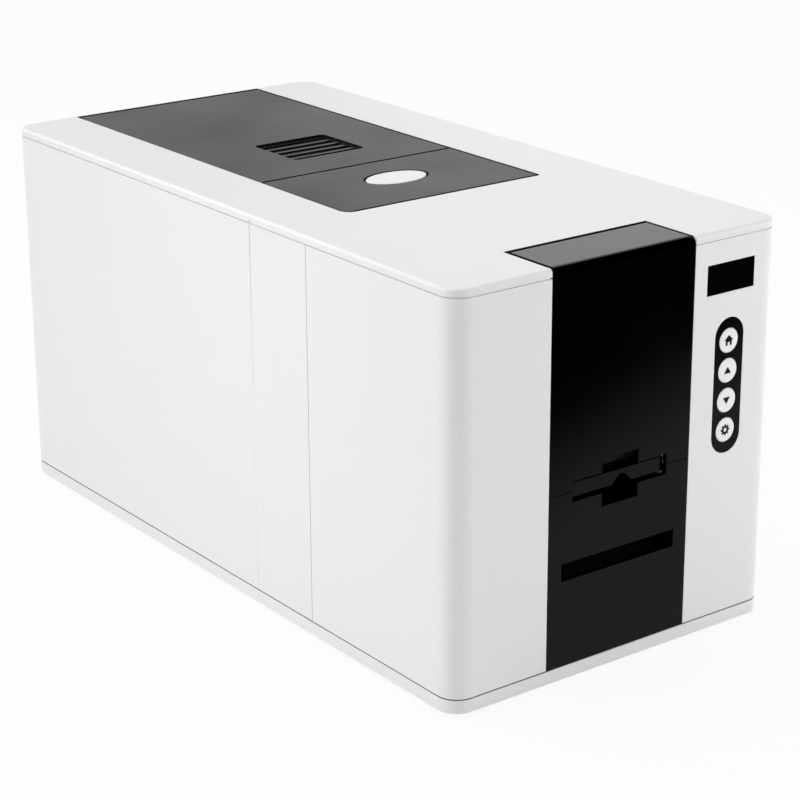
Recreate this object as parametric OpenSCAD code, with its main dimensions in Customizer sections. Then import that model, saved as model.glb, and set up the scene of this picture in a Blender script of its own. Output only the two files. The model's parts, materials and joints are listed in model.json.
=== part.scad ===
// Desktop printer for plastic ID cards: loads cards at the front, prints them under a hinged ribbon lid.
// Millimetres. The origin is on the ground under the middle of the body.
// +X is to the right seen from the front, +Y to the rear, +Z up.

/* [Casing] */
// Width of the casing
body_w = 200; // [194:1:214]
// Length of the casing, front to rear
body_l = 400; // [392:1:430]
// Height from the base band's bottom edge to the top
body_h = 205.5; // [202:0.5:216]
// Height of the feet below the base band
foot_h = 1.5; // [1:0.1:3]
// Height of the white base band
base_h = 6.6; // [5.5:0.1:8]
// Height of the top cover's edge band
band_h = 3.9; // [3.6:0.1:4.8]
// Radius of the casing's upright corners
corner_r = 11; // [9:0.5:13]
// Radius of the top cover's edge
edge_r = 1.9; // [1.3:0.1:1.9]
// Wall of the white panels
wall = 3; // [2.6:0.1:3.4]
// Height of the dark seams above the base band and under the top cover
seam_h = 0.7; // [0.4:0.1:1]
// Depth of those seams
seam_deep = 1.6; // [1.2:0.1:2]
// Upright gap between neighbouring panels
panel_gap = 0.4; // [0.3:0.05:0.6]
// Front edge of the left pillar panel, from the front face
pillar_start = 113; // [108:1:118]
// Length of the left pillar panel
pillar_l = 48; // [42:1:54]

/* [Front] */
// Width of the black front strip
strip_w = 87.2; // [80:0.1:90]
// Thickness of the black panels
strip_t = 3; // [2.6:0.1:3.4]
// Gap round the black panels
strip_gap = 0.4; // [0.3:0.05:0.6]
// Length of the hopper cover's return on the top
return_l = 34.2; // [32:0.1:40]
// Outer bend radius of the hopper cover at the top edge
bend_r = 4; // [3.4:0.1:5]
// Height of the seam below the hopper cover, above the base band's bottom edge
cover_seam_h = 95.2; // [93:0.2:98]
// Width of the manual feed slot
slot_w = 59; // [57.5:0.5:62]
// Height of the manual feed slot
slot_h = 10.4; // [9:0.2:11.4]
// Width of the thumb notches
notch_w = 22.6; // [17:0.1:25]
// Depth of the thumb notches
notch_h = 6.8; // [5:0.1:8]
// Width of the card exit slot
exit_w = 71; // [66:0.5:73]
// Height of the card exit slot
exit_h = 9; // [8:0.1:10]
// Middle of the exit slot, above the base band's bottom edge
exit_mid = 55.4; // [52:0.2:58]

/* [Display and keys] */
// Width of the display window
disp_w = 30.8; // [28:0.2:33]
// Height of the display window
disp_h = 15.2; // [13:0.2:17]
// Shift of the display and the keys towards the strip, from the middle of the white front
disp_shift = 4; // [3:0.05:5]
// Middle of the display window, below the top
disp_drop = 23.6; // [22:0.2:28]
// Width of the pill-shaped keypad bezel
pad_w = 18.8; // [17:0.2:20]
// Diameter of the keys
key_d = 12.5; // [11:0.1:14]
// Distance from key to key
key_pitch = 15.25; // [15:0.05:16]
// Middle of the keypad bezel, below the top
pad_drop = 78.8; // [77:0.5:82]
// Travel of the keys
key_travel = 0.8; // [0.5:0.1:1]

/* [Top] */
// Width of the dark top plates
plate_w = 120.8; // [114:0.1:124]
// Front edge of the dark top plates, from the front face
plate_start = 134.7; // [130:0.1:138]
// Seam between the front plate and the ribbon lid, from the front face
plate_split = 208.2; // [204:0.1:212]
// Corner radius of the front plate
plate_r = 5; // [3:0.5:10]
// Radius of the control plate's right front corner
plate_tight_r = 1.6; // [1:0.1:5]
// Thickness of the top cover and of the dark plates
top_t = 3; // [2.6:0.1:3.4]
// Gap at the transverse seam and round the plates
top_gap = 1.2; // [0.8:0.05:1.6]
// White strip left behind the ribbon lid
rear_strip = 3; // [2.8:0.1:4]
// Width of the oval release button
button_w = 35.2; // [33:0.1:37]
// Length of the release button, front to back
button_l = 21.7; // [20:0.1:23]
// Width of the sunk ring round it
ring_w = 1.4; // [1:0.1:2]
// Middle of the release button, from the front face
button_y = 175.8; // [174:0.2:177]
// Travel of the release button
button_travel = 2.5; // [2:0.1:3]
// Length of a vent slot
vent_l = 44.1; // [36:0.1:46]
// Width of a vent slot
vent_slot = 4.3; // [3:0.1:5]
// Distance from vent slot to vent slot
vent_pitch = 7.6; // [7:0.05:8]
// Middle of the vent, from the front face
vent_y = 256.9; // [253:0.1:258]

/* [Card path] */
// Width of a card
card_w = 54; // [53:0.1:55]
// Length of a card
card_l = 85.6; // [85:0.1:87]
// Thickness of a card
card_t = 0.76; // [0.5:0.02:1]
// Inside height of the hopper
stack_h = 84; // [76:1:88]
// Distance between the frame plates
frame_w = 97; // [94:0.5:99]
// Thickness of the frame plates
frame_t = 1.5; // [1.2:0.1:2]
// Radius of the driven rollers
roller_r = 8; // [7:0.1:8.6]
// Radius of the pinch rollers
pinch_r = 6; // [5:0.1:6.6]
// Radius of the steel shafts
shaft_r = 3; // [2.5:0.1:3.4]
// Running clearance of shafts and pins, on the radius
run_gap = 0.05; // [0.02:0.01:0.1]
// Clearance between other moving pieces
move_gap = 0.4; // [0.3:0.05:0.5]
// Pick roller's middle, from the front face
pick_y = 60; // [56:1:64]
// Feed roller's middle, from the front face
feed_y = 112; // [110:0.5:114]
// Transport roller's middle, from the front face
transport_y = 184; // [182:0.5:188]
// Platen roller's middle, from the front face
platen_y = 250; // [249:0.5:253]

/* [Drive] */
// Gear module
gear_m = 1; // [0.8:0.05:1.05]
// Teeth of the drive gear
gear_n = 48; // [44:4:48]
// Teeth of the motor pinion
pinion_n = 12; // [12:1:14]
// Width of the gears
gear_w = 5; // [4:0.5:6]
// Outer radius of the belt pulleys
pulley_r = 9; // [8:0.2:10]
// Width of the belt
belt_w = 5; // [4:0.2:6]
// Thickness of the belt
belt_t = 1.2; // [0.9:0.1:1.5]
// Radius of the drive motor
motor_r = 17; // [15:0.5:18]
// Length of the drive motor
motor_l = 38; // [30:1:42]

/* [Ribbon] */
// Width of the ribbon
ribbon_w = 60; // [58:0.5:62]
// Radius of the full supply roll
supply_r = 19; // [16:0.5:21]
// Radius of the spool cores
core_r = 7; // [6:0.2:8]
// Height of the spools above the card deck
spool_up = 25; // [24:0.5:28]
// Take-up spool, from the front face
take_up_y = 210; // [208:0.5:212]
// Supply spool, from the front face
supply_y = 306; // [304:1:312]

/* [Hidden] */
$fn = 64;
// Overshoot of a cut past the face it opens
eps = 1;

// Levels and faces of the casing
front = -body_l / 2;
rear = body_l / 2;
side = body_w / 2;
shell_z = foot_h + base_h + seam_h;
top_z = foot_h + body_h;
cover_z = top_z - band_h;
shell_top = cover_z - seam_h;
plate_z = top_z - top_t;
// Locating lip inside the panels
lip_gap = 0.3;
lip_t = 1.5;
lip_h = 6;
inside = wall + lip_gap + lip_t;
floor_t = 3;
floor_z = foot_h + floor_t;
pillar_y = front + pillar_start;
pillar_end = pillar_y + pillar_l;
// Height at which the rear pillar seam closes up
seam_fade_z = foot_h + 108;
seam_closed = 0.08;
// Half width of the flat rear panel
rear_half = side - corner_r - 9;

// Front strip and its channel
channel_w = strip_w + 2 * strip_gap;
channel_y = front + strip_t;
channel_t = 4;
channel_back = channel_y + channel_t;
panel_t = strip_t - strip_gap;
cover_seam_z = foot_h + cover_seam_h;
cover_bottom = cover_seam_z + strip_gap / 2;
exit_z = foot_h + exit_mid;
bar_h = 2.4;
hopper_mouth_z = cover_seam_z + slot_h / 2 + bar_h;

// Hinges: the barrel is the rounded rear edge of each cover
barrel_r = 2.4;
hinge_z = top_z - barrel_r;
pin_r = 1.2;
pin_in = 6;
pin_out = 4;
boss = 8;
cover_hinge_y = front + return_l - barrel_r;
lid_rear = rear - rear_strip;
lid_hinge_y = lid_rear - barrel_r;
lid_front = front + plate_split + top_gap / 2;
lid_w = plate_w;
plate_ease = 0.8;
edge_min = 0.5;
lid_t = top_t - move_gap;
ledge_w = 4;
ledge_t = 2.5;
ledge_z = plate_z - ledge_t;
plate_open_w = plate_w + 2 * top_gap;
hinge_clear_y = lid_hinge_y - barrel_r - 2;

// Card path
deck_t = 3;
deck_z = cover_seam_z + 0.4;
card_gap = 0.8;
hopper_w = card_w + 2 * card_gap;
hopper_t = 2;
hopper_end = channel_back + card_l + card_gap;
frame_x = frame_w / 2;
shaft_z = deck_z - move_gap - roller_r;
pinch_z = deck_z + card_t + move_gap + pinch_r;
roller_w = card_w - 14;
window_gap = 2;
bushing_r = shaft_r + 2;
bushing_flange_t = 1.2;
shaft_end = 3;
bar_r = 1;
weight_h = 12;
weight_plate = 3;
weight_gap = 0.5;
// Feed flap: its rod lies in the channel's back wall, its face just behind the front face
flap_inset = 2.4;
flap_y = channel_back - 1.6;
flap_hinge_z = cover_seam_z + slot_h / 2 - 1.6;
flap_drop = 2;
flap_top = cover_seam_z + slot_h / 2 - flap_drop;
flap_h = slot_h - 3.4;
flap_swing = flap_h + 2;
flap_cut = 4.6;
flap_cut_x = 3;
// Set-back of the white channel's cut-outs, which keeps their edges out of sight
slot_back = 5.4;
return_groove = 1.8;
return_sink = 0.9;
chute_wall = 2;
guide_t = 2;
chute_low = exit_z - exit_h / 2 - 0.5;

// Drive train, on the right of the right frame plate
pulley_x = frame_x + frame_t + 2;
flange_t = 1;
belt_side = 0.5;
pulley_w = belt_w + 2 * belt_side + 2 * flange_t;
flange_up = 2;
gear_x = pulley_x + pulley_w + 1;
gear_r = gear_m * gear_n / 2;
pinion_r = gear_m * pinion_n / 2;
mesh_gap = 0.2;
mesh_angle = -45;
gear_dist = gear_r + pinion_r + mesh_gap;
feed_shaft_y = front + feed_y;
motor_y = feed_shaft_y + gear_dist * cos(mesh_angle);
motor_z = shaft_z + gear_dist * sin(mesh_angle);
motor_shaft_r = 2;
belt_gap = 0.3;

// Ribbon and lid
spool_z = deck_z + spool_up;
cradle_in = ribbon_w / 2 + 5;
cradle_t = 2.5;
spindle_r = 3;
head_gap = 0.6;
head_z = deck_z + card_t + head_gap;
platen_shaft_y = front + platen_y;
head_front = platen_shaft_y - 5;
head_deep = 24;
head_h = 20;
bracket_t = 2;
bracket_w = ribbon_w - 2 * bracket_t;
bracket_hole_up = 30;
bracket_hole_r = 7;
bridge_up = 1;
fan_w = 40;
fan_h = 10;
fan_y = front + vent_y;
fan_z = top_z - lid_t;
vent_x = 1.95;
vent_n = 5;
vent_side = 0.8;
vent_end = 2.6;
vent_sink = 1.35;
vent_corner_r = 3;
vent_slot_r = 0.2 * vent_slot;
rib_x = 10;
rib_t = 1.6;
rib_h = 5;

// Release button and latch
button_h = 7;
button_gap = 0.4;
ring_sink = 2.2;
button_wall = 2;
button_post = 4;
skirt_t = 1.6;
button_mid_y = front + button_y;
hook_y = lid_front - 7;
hook_z = top_z - 17;
hook_arm = hook_y - button_mid_y;
hook_w = 8;
hook_pin_r = 1.5;
striker_y = lid_front + 2;

// Display and keys
disp_x = (channel_w / 2 + side) / 2 - disp_shift;
window_x = disp_x - 0.6;
disp_z = top_z - disp_drop;
pad_z = top_z - pad_drop;
pad_h = 3 * key_pitch + 23.75;
bezel_t = 1.5;
lens_t = 1.5;
rim = 1.2;
key_gap = 0.25;
key_flange_t = 1;
key_flange_out = 0.6;
switch_h = 0.3;
switch_r = 2.5;
switch_gap = 0.2;
board_y = channel_back + 0.3;
key_h = board_y - front - key_travel - switch_h - switch_gap;
board_t = 1.6;
board_side = 3;
board_w = disp_w + 2 * board_side;
board_reach = 8;
disp_in = 2;
boss_r = 2.5;
boss_drop = 6;
plug_w = 18;
plug_h = 12;
plug_deep = 5;

// Rear connections
inlet_in = 32;
inlet_x = inlet_in - rear_half;
inlet_z = foot_h + 38;
inlet_w = 50;
inlet_h = 28;
inlet_deep = 24;
rocker_w = 13;
rocker_h = 19;
rocker_tilt = 8;
port_z = foot_h + 30;
lan_in = 16;
port_pitch = 22;
lan_x = rear_half - lan_in;
usb_x = lan_x - port_pitch;
usb_w = 12;
usb_h = 11;
lan_w = 16;
lan_h = 14;
port_deep = 18;

// Feet, screws and board posts
foot_r = 8;
foot_seat = 1;
screw_r = 1.5;
screw_head_r = 3;
screw_head_h = 1.4;
screw_x = 55;
post_r = 3.5;
post_h = 8;
post_x = 38;
board_l = 108;
board_gap = 56;
board_edge = 6;
main_y = rear - board_gap - board_l;
flange_w = 8;
frame_end = front + supply_y + 32;
frame_top = deck_z + 15;
tower_top = spool_z + 14;
ribbon_motor_r = 12;
ribbon_motor_l = 22;
motor_boss_r = 8;

// What stands on the main board
board_row = main_y + 40;
sink_n = 6;
sink_pitch = 4;
sink_fin = 1.5;
sink_l = 24;
sink_h = 10;
sink_base = 2;
sink_in = 3;
cap_r = 5;
cap_h = 14;
cap_in = 12;
cap_pitch = 14;
header_w = 8;
header_l = 18;
header_h = 7;
header_in = 6;
header_pitch = 26;

// Smaller fittings
rod_r = 4;
rod_up = 33;
rod_first = 30;
rod_mid = 6;
rod_last = 14;
striker_t = 2;
striker_up = 3;
flap_wide = 6.2;
inlet_flange = 1.5;
fit = 0.3;
louver_n = 7;
louver_w = 70;
louver_h = 3;
louver_pitch = 7;
louver_z = foot_h + 100;
nick = 1;
button_bottom = top_z - button_h;
ear_w = 3;
ear_t = 2;
lens_gap = 0.15;
psu_w = 28;
psu_l = 120;
psu_h = 52;
psu_gap = 30;
psu_y = rear - inlet_deep - psu_gap - psu_l;
psu_vent_r = 3;
psu_vent_pitch = 12;
psu_side = 3;
socket_x = inlet_x - 9;
socket_deep = 17;
rocker_x = inlet_x + 14.5;
rocker_deep = 14;
rocker_y = rear - 6.5;
cradle_start = front + take_up_y - 16;
cradle_end = front + supply_y + supply_r + 4;
cradle_top = spool_z + 8;
cradle_low = deck_z + 10;
vent_reach = (vent_n - 1) / 2 * vent_pitch + vent_slot / 2;
head_base_h = 6;
head_fins = 5;
head_fin = 1.6;
head_fin_pitch = 4.4;
fan_wall_r = fan_w / 2 - 1.5;
fan_hub_r = 8;
fan_pin_r = 1.5;
fan_pin_h = 6;
fan_strut_t = 1.2;
fan_strut_w = 2;
fan_rotor_h = fan_h - 3;
fan_tip_gap = 0.2;
blade_n = 7;
blade_w = 7;
blade_t = 1;
blade_lean = 35;

// Solid between two opposite corners
module span(a, b) {
    translate(a) cube(b - a);
}

// Solid that is symmetric about the centre plane, w wide
module bridge(w, y0, y1, z0, z1) {
    span([-w / 2, y0, z0], [w / 2, y1, z1]);
}

// Rectangle with round corners, centred
module round_rect(w, l, r) {
    square([w - 2 * r, l], center = true);
    square([w, l - 2 * r], center = true);
    for (x = [-1, 1], y = [-1, 1]) translate([x * (w / 2 - r), y * (l / 2 - r)]) circle(r);
}

// Casing outline set in by a distance
module outline(inset) {
    round_rect(body_w - 2 * inset, body_l - 2 * inset, corner_r - inset);
}

module prism(inset, z0, z1) {
    translate([0, 0, z0]) linear_extrude(z1 - z0) outline(inset);
}

// Cylinder along +X whose near end is at x
module rod_x(x, y, z, r, l) {
    translate([x, y, z]) rotate([0, 90, 0]) cylinder(h = l, r = r);
}

// Cylinder along +Y whose near end is at y
module rod_y(x, y, z, r, l) {
    translate([x, y, z]) rotate([-90, 0, 0]) cylinder(h = l, r = r);
}

// Cylinder that stands at a place [x, y], from z up
module upright(place, z, h, r) {
    translate([place[0], place[1], z]) cylinder(h = h, r = r);
}

// Holes for the rear panel's screws through a locating lip
module lip_screw_holes(z) {
    for (x = [-screw_x, screw_x]) rod_y(x, rear - inside - eps, z, screw_r, lip_t + 2 * eps);
}

// The same on both sides of the centre plane
module both_sides() {
    children();
    mirror([1, 0, 0]) children();
}

// Flat shape drawn in Y and Z, extruded along +X
module profile_x(x, l) {
    translate([x, 0, 0]) rotate([90, 0, 90]) linear_extrude(l) children();
}

// Flat shape drawn in X and Z, extruded along +Y
module profile_y(y, l) {
    translate([0, y + l, 0]) rotate([90, 0, 0]) linear_extrude(l) children();
}

// White wall of the casing between the base and the top cover
module shell_wall() {
    difference() {
        prism(0, shell_z, shell_top);
        prism(wall, shell_z - eps, shell_top + eps);
    }
}

function foot_places() = [for (x = [-1, 1], y = [-1, 1]) [x * (side - 24), y * (rear - 26)]];

function post_places() = [for (x = [-1, 1], y = [0, board_l]) [x * post_x, main_y + y]];

function floor_screws() =
    [for (x = [-1, 1], y = [front + 50, front + supply_y]) [x * (frame_x + frame_t + flange_w / 2), y]];

// Shafts that turn in the frame plates, as [y, z]
function shaft_places() = [for (y = [pick_y, feed_y, transport_y, platen_y]) [front + y, shaft_z]];

function pinch_places() = [for (y = [feed_y, transport_y]) [front + y, pinch_z]];

module base_tray() {
    color("white") difference() {
        union() {
            prism(0, foot_h, foot_h + base_h);
            prism(seam_deep, foot_h, shell_z);
            prism(wall + lip_gap, foot_h, shell_z + lip_h);
        }
        // Room inside, with a solid sill left under the front channel
        difference() {
            prism(inside, floor_z, shell_z + lip_h + eps);
            bridge(channel_w + 2 * wall + 2, front, channel_back + 1, foot_h, shell_z);
            for (p = post_places()) upright(p, foot_h, floor_t + post_h, post_r);
        }
        bridge(channel_w + 2 * wall + 2, front - eps, channel_back + 1, shell_z, shell_z + lip_h + eps);
        for (p = foot_places()) upright(p, foot_h - eps, eps + foot_seat, foot_r);
        for (p = floor_screws()) {
            upright(p, foot_h - eps, floor_t + 2 * eps, screw_r);
            upright(p, foot_h - eps, eps + screw_head_h, screw_head_r);
        }
        lip_screw_holes(shell_z + lip_h / 2);
    }
}

module rubber_feet() {
    color("dimgray") for (p = foot_places()) upright(p, 0, foot_h + foot_seat, foot_r);
}

// Feed slot, cut through along Y; extra opens it further at the bottom
module feed_mouth(y0, y1, extra) {
    bridge(slot_w, y0, y1, cover_seam_z - slot_h / 2 - extra, cover_seam_z + slot_h / 2);
}

// Thumb notches above and below the feed slot
module thumb_notches(y0, y1, extra) {
    h = slot_h + 2 * notch_h + 2 * extra;
    bridge(notch_w + 2 * extra, y0, y1, cover_seam_z - h / 2, cover_seam_z + h / 2);
}

// Pill-shaped outline of the keypad, set in by a distance
module pill(inset) {
    translate([disp_x, pad_z]) {
        square([pad_w - 2 * inset, pad_h - pad_w], center = true);
        for (s = [-1, 1]) translate([0, s * (pad_h - pad_w) / 2]) circle(pad_w / 2 - inset);
    }
}

function key_z(i) = pad_z + (1.5 - i) * key_pitch;

function boss_places() = [for (x = [-1, 1], z = [disp_z - disp_h / 2, pad_z - pad_h / 2 + 2])
    [disp_x + x * (board_w / 2 - board_side), z - boss_drop]];

module front_shell() {
    color("white") difference() {
        union() {
            intersection() {
                shell_wall();
                span([-side - eps, front - eps, shell_z], [side + eps, pillar_y - panel_gap / 2, shell_top]);
            }
            bridge(channel_w + 2 * wall, front, channel_back, shell_z, shell_top);
            for (p = boss_places())
                rod_y(p[0], front + wall - eps, p[1], boss_r, board_y - front - wall + eps);
        }
        bridge(channel_w, front - eps, channel_y, shell_z - eps, shell_top + eps);
        bridge(hopper_w, channel_y - eps, channel_back + eps, hopper_mouth_z, shell_top + eps);
        feed_mouth(channel_y - eps, channel_back + eps, slot_back);
        thumb_notches(channel_y - eps, channel_back + eps, slot_back);
        bridge(exit_w + 2 * chute_wall + 2 * fit, channel_y - eps, channel_back + eps,
            chute_low - chute_wall - fit, exit_z + exit_h / 2 + slot_back);
        rod_x(-slot_w / 2 - 3, flap_y, flap_hinge_z, bar_r + run_gap, slot_w + 6);
        // Display and keypad openings, each with a ledge that carries its cover
        translate([window_x, 0, disp_z]) {
            span([-disp_w / 2, front - eps, -disp_h / 2], [disp_w / 2, front + lens_t, disp_h / 2]);
            span([rim - disp_w / 2, front, rim - disp_h / 2],
                [disp_w / 2 - rim, front + wall + eps, disp_h / 2 - rim]);
        }
        profile_y(front - eps, eps + bezel_t) pill(0);
        profile_y(front, wall + eps) pill(rim);
    }
}

module left_pillar_panel() {
    color("white") intersection() {
        shell_wall();
        span([-side - eps, pillar_y + panel_gap / 2, shell_z], [0, pillar_end - panel_gap / 2, shell_top]);
    }
}

// The front edge leans, so its seam with the pillar closes up towards the bottom
module left_side_panel() {
    edge = pillar_end - panel_gap / 2;
    color("white") intersection() {
        shell_wall();
        profile_x(-side - eps, side + eps - rear_half - panel_gap / 2) polygon([
            [edge + seam_closed, shell_z], [edge + seam_closed, seam_fade_z],
            [edge + panel_gap, shell_top], [rear + eps, shell_top], [rear + eps, shell_z]]);
    }
}

module right_side_panel() {
    color("white") intersection() {
        shell_wall();
        span([rear_half + panel_gap / 2, pillar_y + panel_gap / 2, shell_z],
            [side + eps, rear + eps, shell_top]);
    }
}

// Screws through the rear panel, as [x, z]
function rear_screws() =
    [for (x = [-screw_x, screw_x], z = [shell_z + lip_h / 2, shell_top - lip_h / 2]) [x, z]];

module rear_panel() {
    color("white") difference() {
        intersection() {
            shell_wall();
            span([panel_gap / 2 - rear_half, 0, shell_z], [rear_half - panel_gap / 2, rear + eps, shell_top]);
        }
        translate([inlet_x, 0, inlet_z]) {
            span([-inlet_w / 2, rear - wall - eps, -inlet_h / 2], [inlet_w / 2, rear + eps, inlet_h / 2]);
            span([-inlet_w / 2 - 2, rear - inlet_flange, -inlet_h / 2 - 2],
                [inlet_w / 2 + 2, rear + eps, inlet_h / 2 + 2]);
        }
        translate([usb_x, 0, port_z]) span([-usb_w / 2 - fit, rear - wall - eps, -usb_h / 2 - fit],
            [usb_w / 2 + fit, rear + eps, usb_h / 2 + fit]);
        translate([lan_x, 0, port_z]) span([-lan_w / 2 - fit, rear - wall - eps, -lan_h / 2 - fit],
            [lan_w / 2 + fit, rear + eps, lan_h / 2 + fit]);
        for (p = rear_screws()) {
            rod_y(p[0], rear - wall - eps, p[1], screw_r, wall + 2 * eps);
            rod_y(p[0], rear - screw_head_h, p[1], screw_head_r, screw_head_h + eps);
        }
        for (i = [0:louver_n - 1]) bridge(louver_w, rear - wall - eps, rear + eps,
            louver_z + i * louver_pitch, louver_z + i * louver_pitch + louver_h);
    }
}

// Solid of the top cover with its edge rounded all round
module top_blank() {
    prism(0, cover_z, top_z - edge_r);
    prism(edge_r, cover_z, top_z);
    for (s = [-1, 1]) {
        rod_x(corner_r - side, s * (rear - edge_r), top_z - edge_r, edge_r, body_w - 2 * corner_r);
        rod_y(s * (side - edge_r), front + corner_r, top_z - edge_r, edge_r, body_l - 2 * corner_r);
    }
    for (i = [0:3]) mirror([i % 2, 0, 0]) mirror([0, i < 2 ? 0 : 1, 0])
        translate([side - corner_r, rear - corner_r, top_z - edge_r])
            rotate_extrude(angle = 90) translate([corner_r - edge_r, 0]) circle(edge_r);
}

// Opening for the dark plates, with the control plate's rounded front corners
module plate_outline(inset, end) {
    start = front + plate_start - top_gap + inset;
    w = plate_open_w - 2 * inset;
    corner = [for (r = [plate_r, plate_tight_r]) max(r + top_gap - inset, edge_min)];
    deep = max(corner);
    translate([-w / 2, start + deep]) square([w, end - start - deep]);
    translate([corner[0] - w / 2, start]) square([w - corner[0] - corner[1], deep + eps]);
    for (i = [0, 1]) translate([(2 * i - 1) * (w / 2 - corner[i]), start + corner[i]]) {
        circle(corner[i]);
        translate([(i - 1) * corner[i], 0]) square([corner[i], deep - corner[i] + eps]);
    }
}

module top_cover() {
    color("white") difference() {
        union() {
            difference() {
                union() {
                    top_blank();
                    prism(seam_deep, shell_top, cover_z);
                    prism(wall + lip_gap, shell_top - lip_h, cover_z);
                }
                prism(inside, shell_top - lip_h - eps, plate_z);
            }
            // Ledge below the plates and bosses for the hinge pins
            translate([0, 0, ledge_z]) linear_extrude(ledge_t + eps) plate_outline(-2, hinge_clear_y);
            both_sides() {
                span([plate_open_w / 2, lid_hinge_y - boss / 2, ledge_z],
                    [plate_open_w / 2 + boss, rear - wall - lip_gap, plate_z + eps]);
                span([channel_w / 2, cover_hinge_y - boss / 2, ledge_z],
                    [channel_w / 2 + boss, cover_hinge_y + boss / 2, plate_z + eps]);
            }
        }
        translate([0, 0, plate_z]) linear_extrude(top_t + eps) plate_outline(0, lid_rear + top_gap);
        translate([0, 0, ledge_z - eps]) linear_extrude(ledge_t + 2 * eps) plate_outline(ledge_w, lid_rear);
        bridge(plate_open_w, hinge_clear_y, lid_rear + top_gap, ledge_z, plate_z + eps);
        // Notch for the hopper cover's return
        bridge(channel_w, front - eps, front + return_l + top_gap, ledge_z - lip_h, top_z + eps);
        bridge(channel_w + 2 * wall + 2, front - eps, channel_back + 1, shell_top - lip_h - eps, shell_top);
        for (h = [[cover_hinge_y, channel_w], [lid_hinge_y, plate_open_w]])
            rod_x(-h[1] / 2 - pin_out, h[0], hinge_z, pin_r, h[1] + 2 * pin_out);
        lip_screw_holes(shell_top - lip_h / 2);
        // Nick where the pillar's rear seam runs into the edge band
        span([-side - eps, pillar_end - panel_gap, cover_z - eps],
            [nick - side, pillar_end + panel_gap, cover_z + nick]);
    }
}

// Upright rod with the release button's outline, grown all round by extra
module oval_rod(extra, z0, z1) {
    r = button_w / 2 + extra;
    translate([0, button_mid_y, z0]) scale([1, (button_l / 2 + extra) / r, 1]) cylinder(h = z1 - z0, r = r);
}

// Plate under the top face, its upper edges eased at the front and at the sides
module eased_plate(w, y0, y1, t) {
    intersection() {
        profile_x(-w / 2, w) polygon([[y0, top_z - t], [y1, top_z - t], [y1, top_z],
            [y0 + plate_ease, top_z], [y0, top_z - plate_ease]]);
        profile_y(y0, y1 - y0) polygon([[-w / 2, top_z - t], [w / 2, top_z - t], [w / 2, top_z - plate_ease],
            [w / 2 - plate_ease, top_z], [plate_ease - w / 2, top_z], [-w / 2, top_z - plate_ease]]);
    }
}

module control_plate() {
    end = front + plate_split - top_gap / 2;
    color("#3a3a3c") difference() {
        union() {
            intersection() {
                translate([0, 0, plate_z]) linear_extrude(top_t) plate_outline(top_gap, end);
                eased_plate(plate_w, front + plate_start, end, top_t);
            }
            oval_rod(button_gap + skirt_t, button_bottom + button_travel, plate_z + eps);
            both_sides()
                span([hook_w / 2 + fit, hook_y - ear_w, hook_z - ear_w],
                    [hook_w / 2 + fit + ear_t, hook_y + ear_w, plate_z + eps]);
        }
        oval_rod(button_gap, 0, top_z + eps);
        oval_rod(ring_w, top_z - ring_sink, top_z + eps);
        rod_x(-hook_w, hook_y, hook_z, hook_pin_r + run_gap, 2 * hook_w);
    }
}

module lower_front_panel() {
    color("#101012") difference() {
        bridge(strip_w, front, channel_y, shell_z, cover_seam_z - strip_gap / 2);
        bridge(exit_w, front - eps, channel_y + eps, exit_z - exit_h / 2, exit_z + exit_h / 2);
        feed_mouth(front - eps, channel_y + eps, 0);
        thumb_notches(front - eps, channel_y + eps, 0);
    }
}

module display_window() {
    color("#08080a") translate([window_x, front, disp_z])
        span([-disp_w / 2 + lens_gap, 0, -disp_h / 2 + lens_gap],
            [disp_w / 2 - lens_gap, lens_t, disp_h / 2 - lens_gap]);
}

module control_board() {
    low = pad_z - pad_h / 2 - board_reach;
    high = disp_z + disp_h / 2 + board_reach;
    color("darkgreen") {
        translate([disp_x, 0, 0]) {
            span([-board_w / 2, board_y, low], [board_w / 2, board_y + board_t, high]);
            translate([window_x - disp_x, 0, disp_z])
                span([-disp_w / 2 + disp_in, front + lens_t + fit, disp_in - disp_h / 2],
                    [disp_w / 2 - disp_in, board_y, disp_h / 2 - disp_in]);
            for (i = [0:3]) rod_y(0, board_y - switch_h, key_z(i), switch_r, switch_h);
            span([-plug_w / 2, board_y + board_t, pad_z - plug_h / 2],
                [plug_w / 2, board_y + board_t + plug_deep, pad_z + plug_h / 2]);
        }
    }
}

module keypad_bezel() {
    color("#101012") difference() {
        profile_y(front, bezel_t) intersection() {
            pill(lens_gap);
            translate([disp_x - pad_w, pad_z - pad_h]) square([2 * pad_w, 2 * pad_h]);
        }
        for (i = [0:3]) rod_y(disp_x, front - eps, key_z(i), key_d / 2 + key_gap, bezel_t + 2 * eps);
    }
}

module card_hopper() {
    hopper_top = deck_z + stack_h + 8;
    flap_room = channel_back + flap_swing;
    color("#2a2b2e") difference() {
        union() {
            bridge(frame_w, flap_room, hopper_end + hopper_t, deck_z - deck_t, deck_z);
            bridge(hopper_w + 2 * hopper_t, channel_back, hopper_end + hopper_t, deck_z - deck_t, hopper_top);
        }
        bridge(hopper_w, channel_back - eps, hopper_end, deck_z, hopper_top + eps);
        bridge(hopper_w, hopper_end - eps, hopper_end + hopper_t + eps, deck_z - eps, deck_z + 2 * card_t);
        bridge(slot_w + 2, channel_back - eps, flap_room,
            deck_z - deck_t - eps, hopper_mouth_z - bar_h + eps);
        roller_window(front + pick_y);
        // Windows in the sides that show how many cards are left
        bridge(hopper_w + 3 * hopper_t, channel_back + 30, channel_back + 58, deck_z + 30, deck_z + 62);
    }
}

module roller_window(y) {
    bridge(roller_w + 2 * window_gap, y - roller_r - window_gap, y + roller_r + window_gap,
        deck_z - deck_t - eps, deck_z + eps);
}

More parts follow.
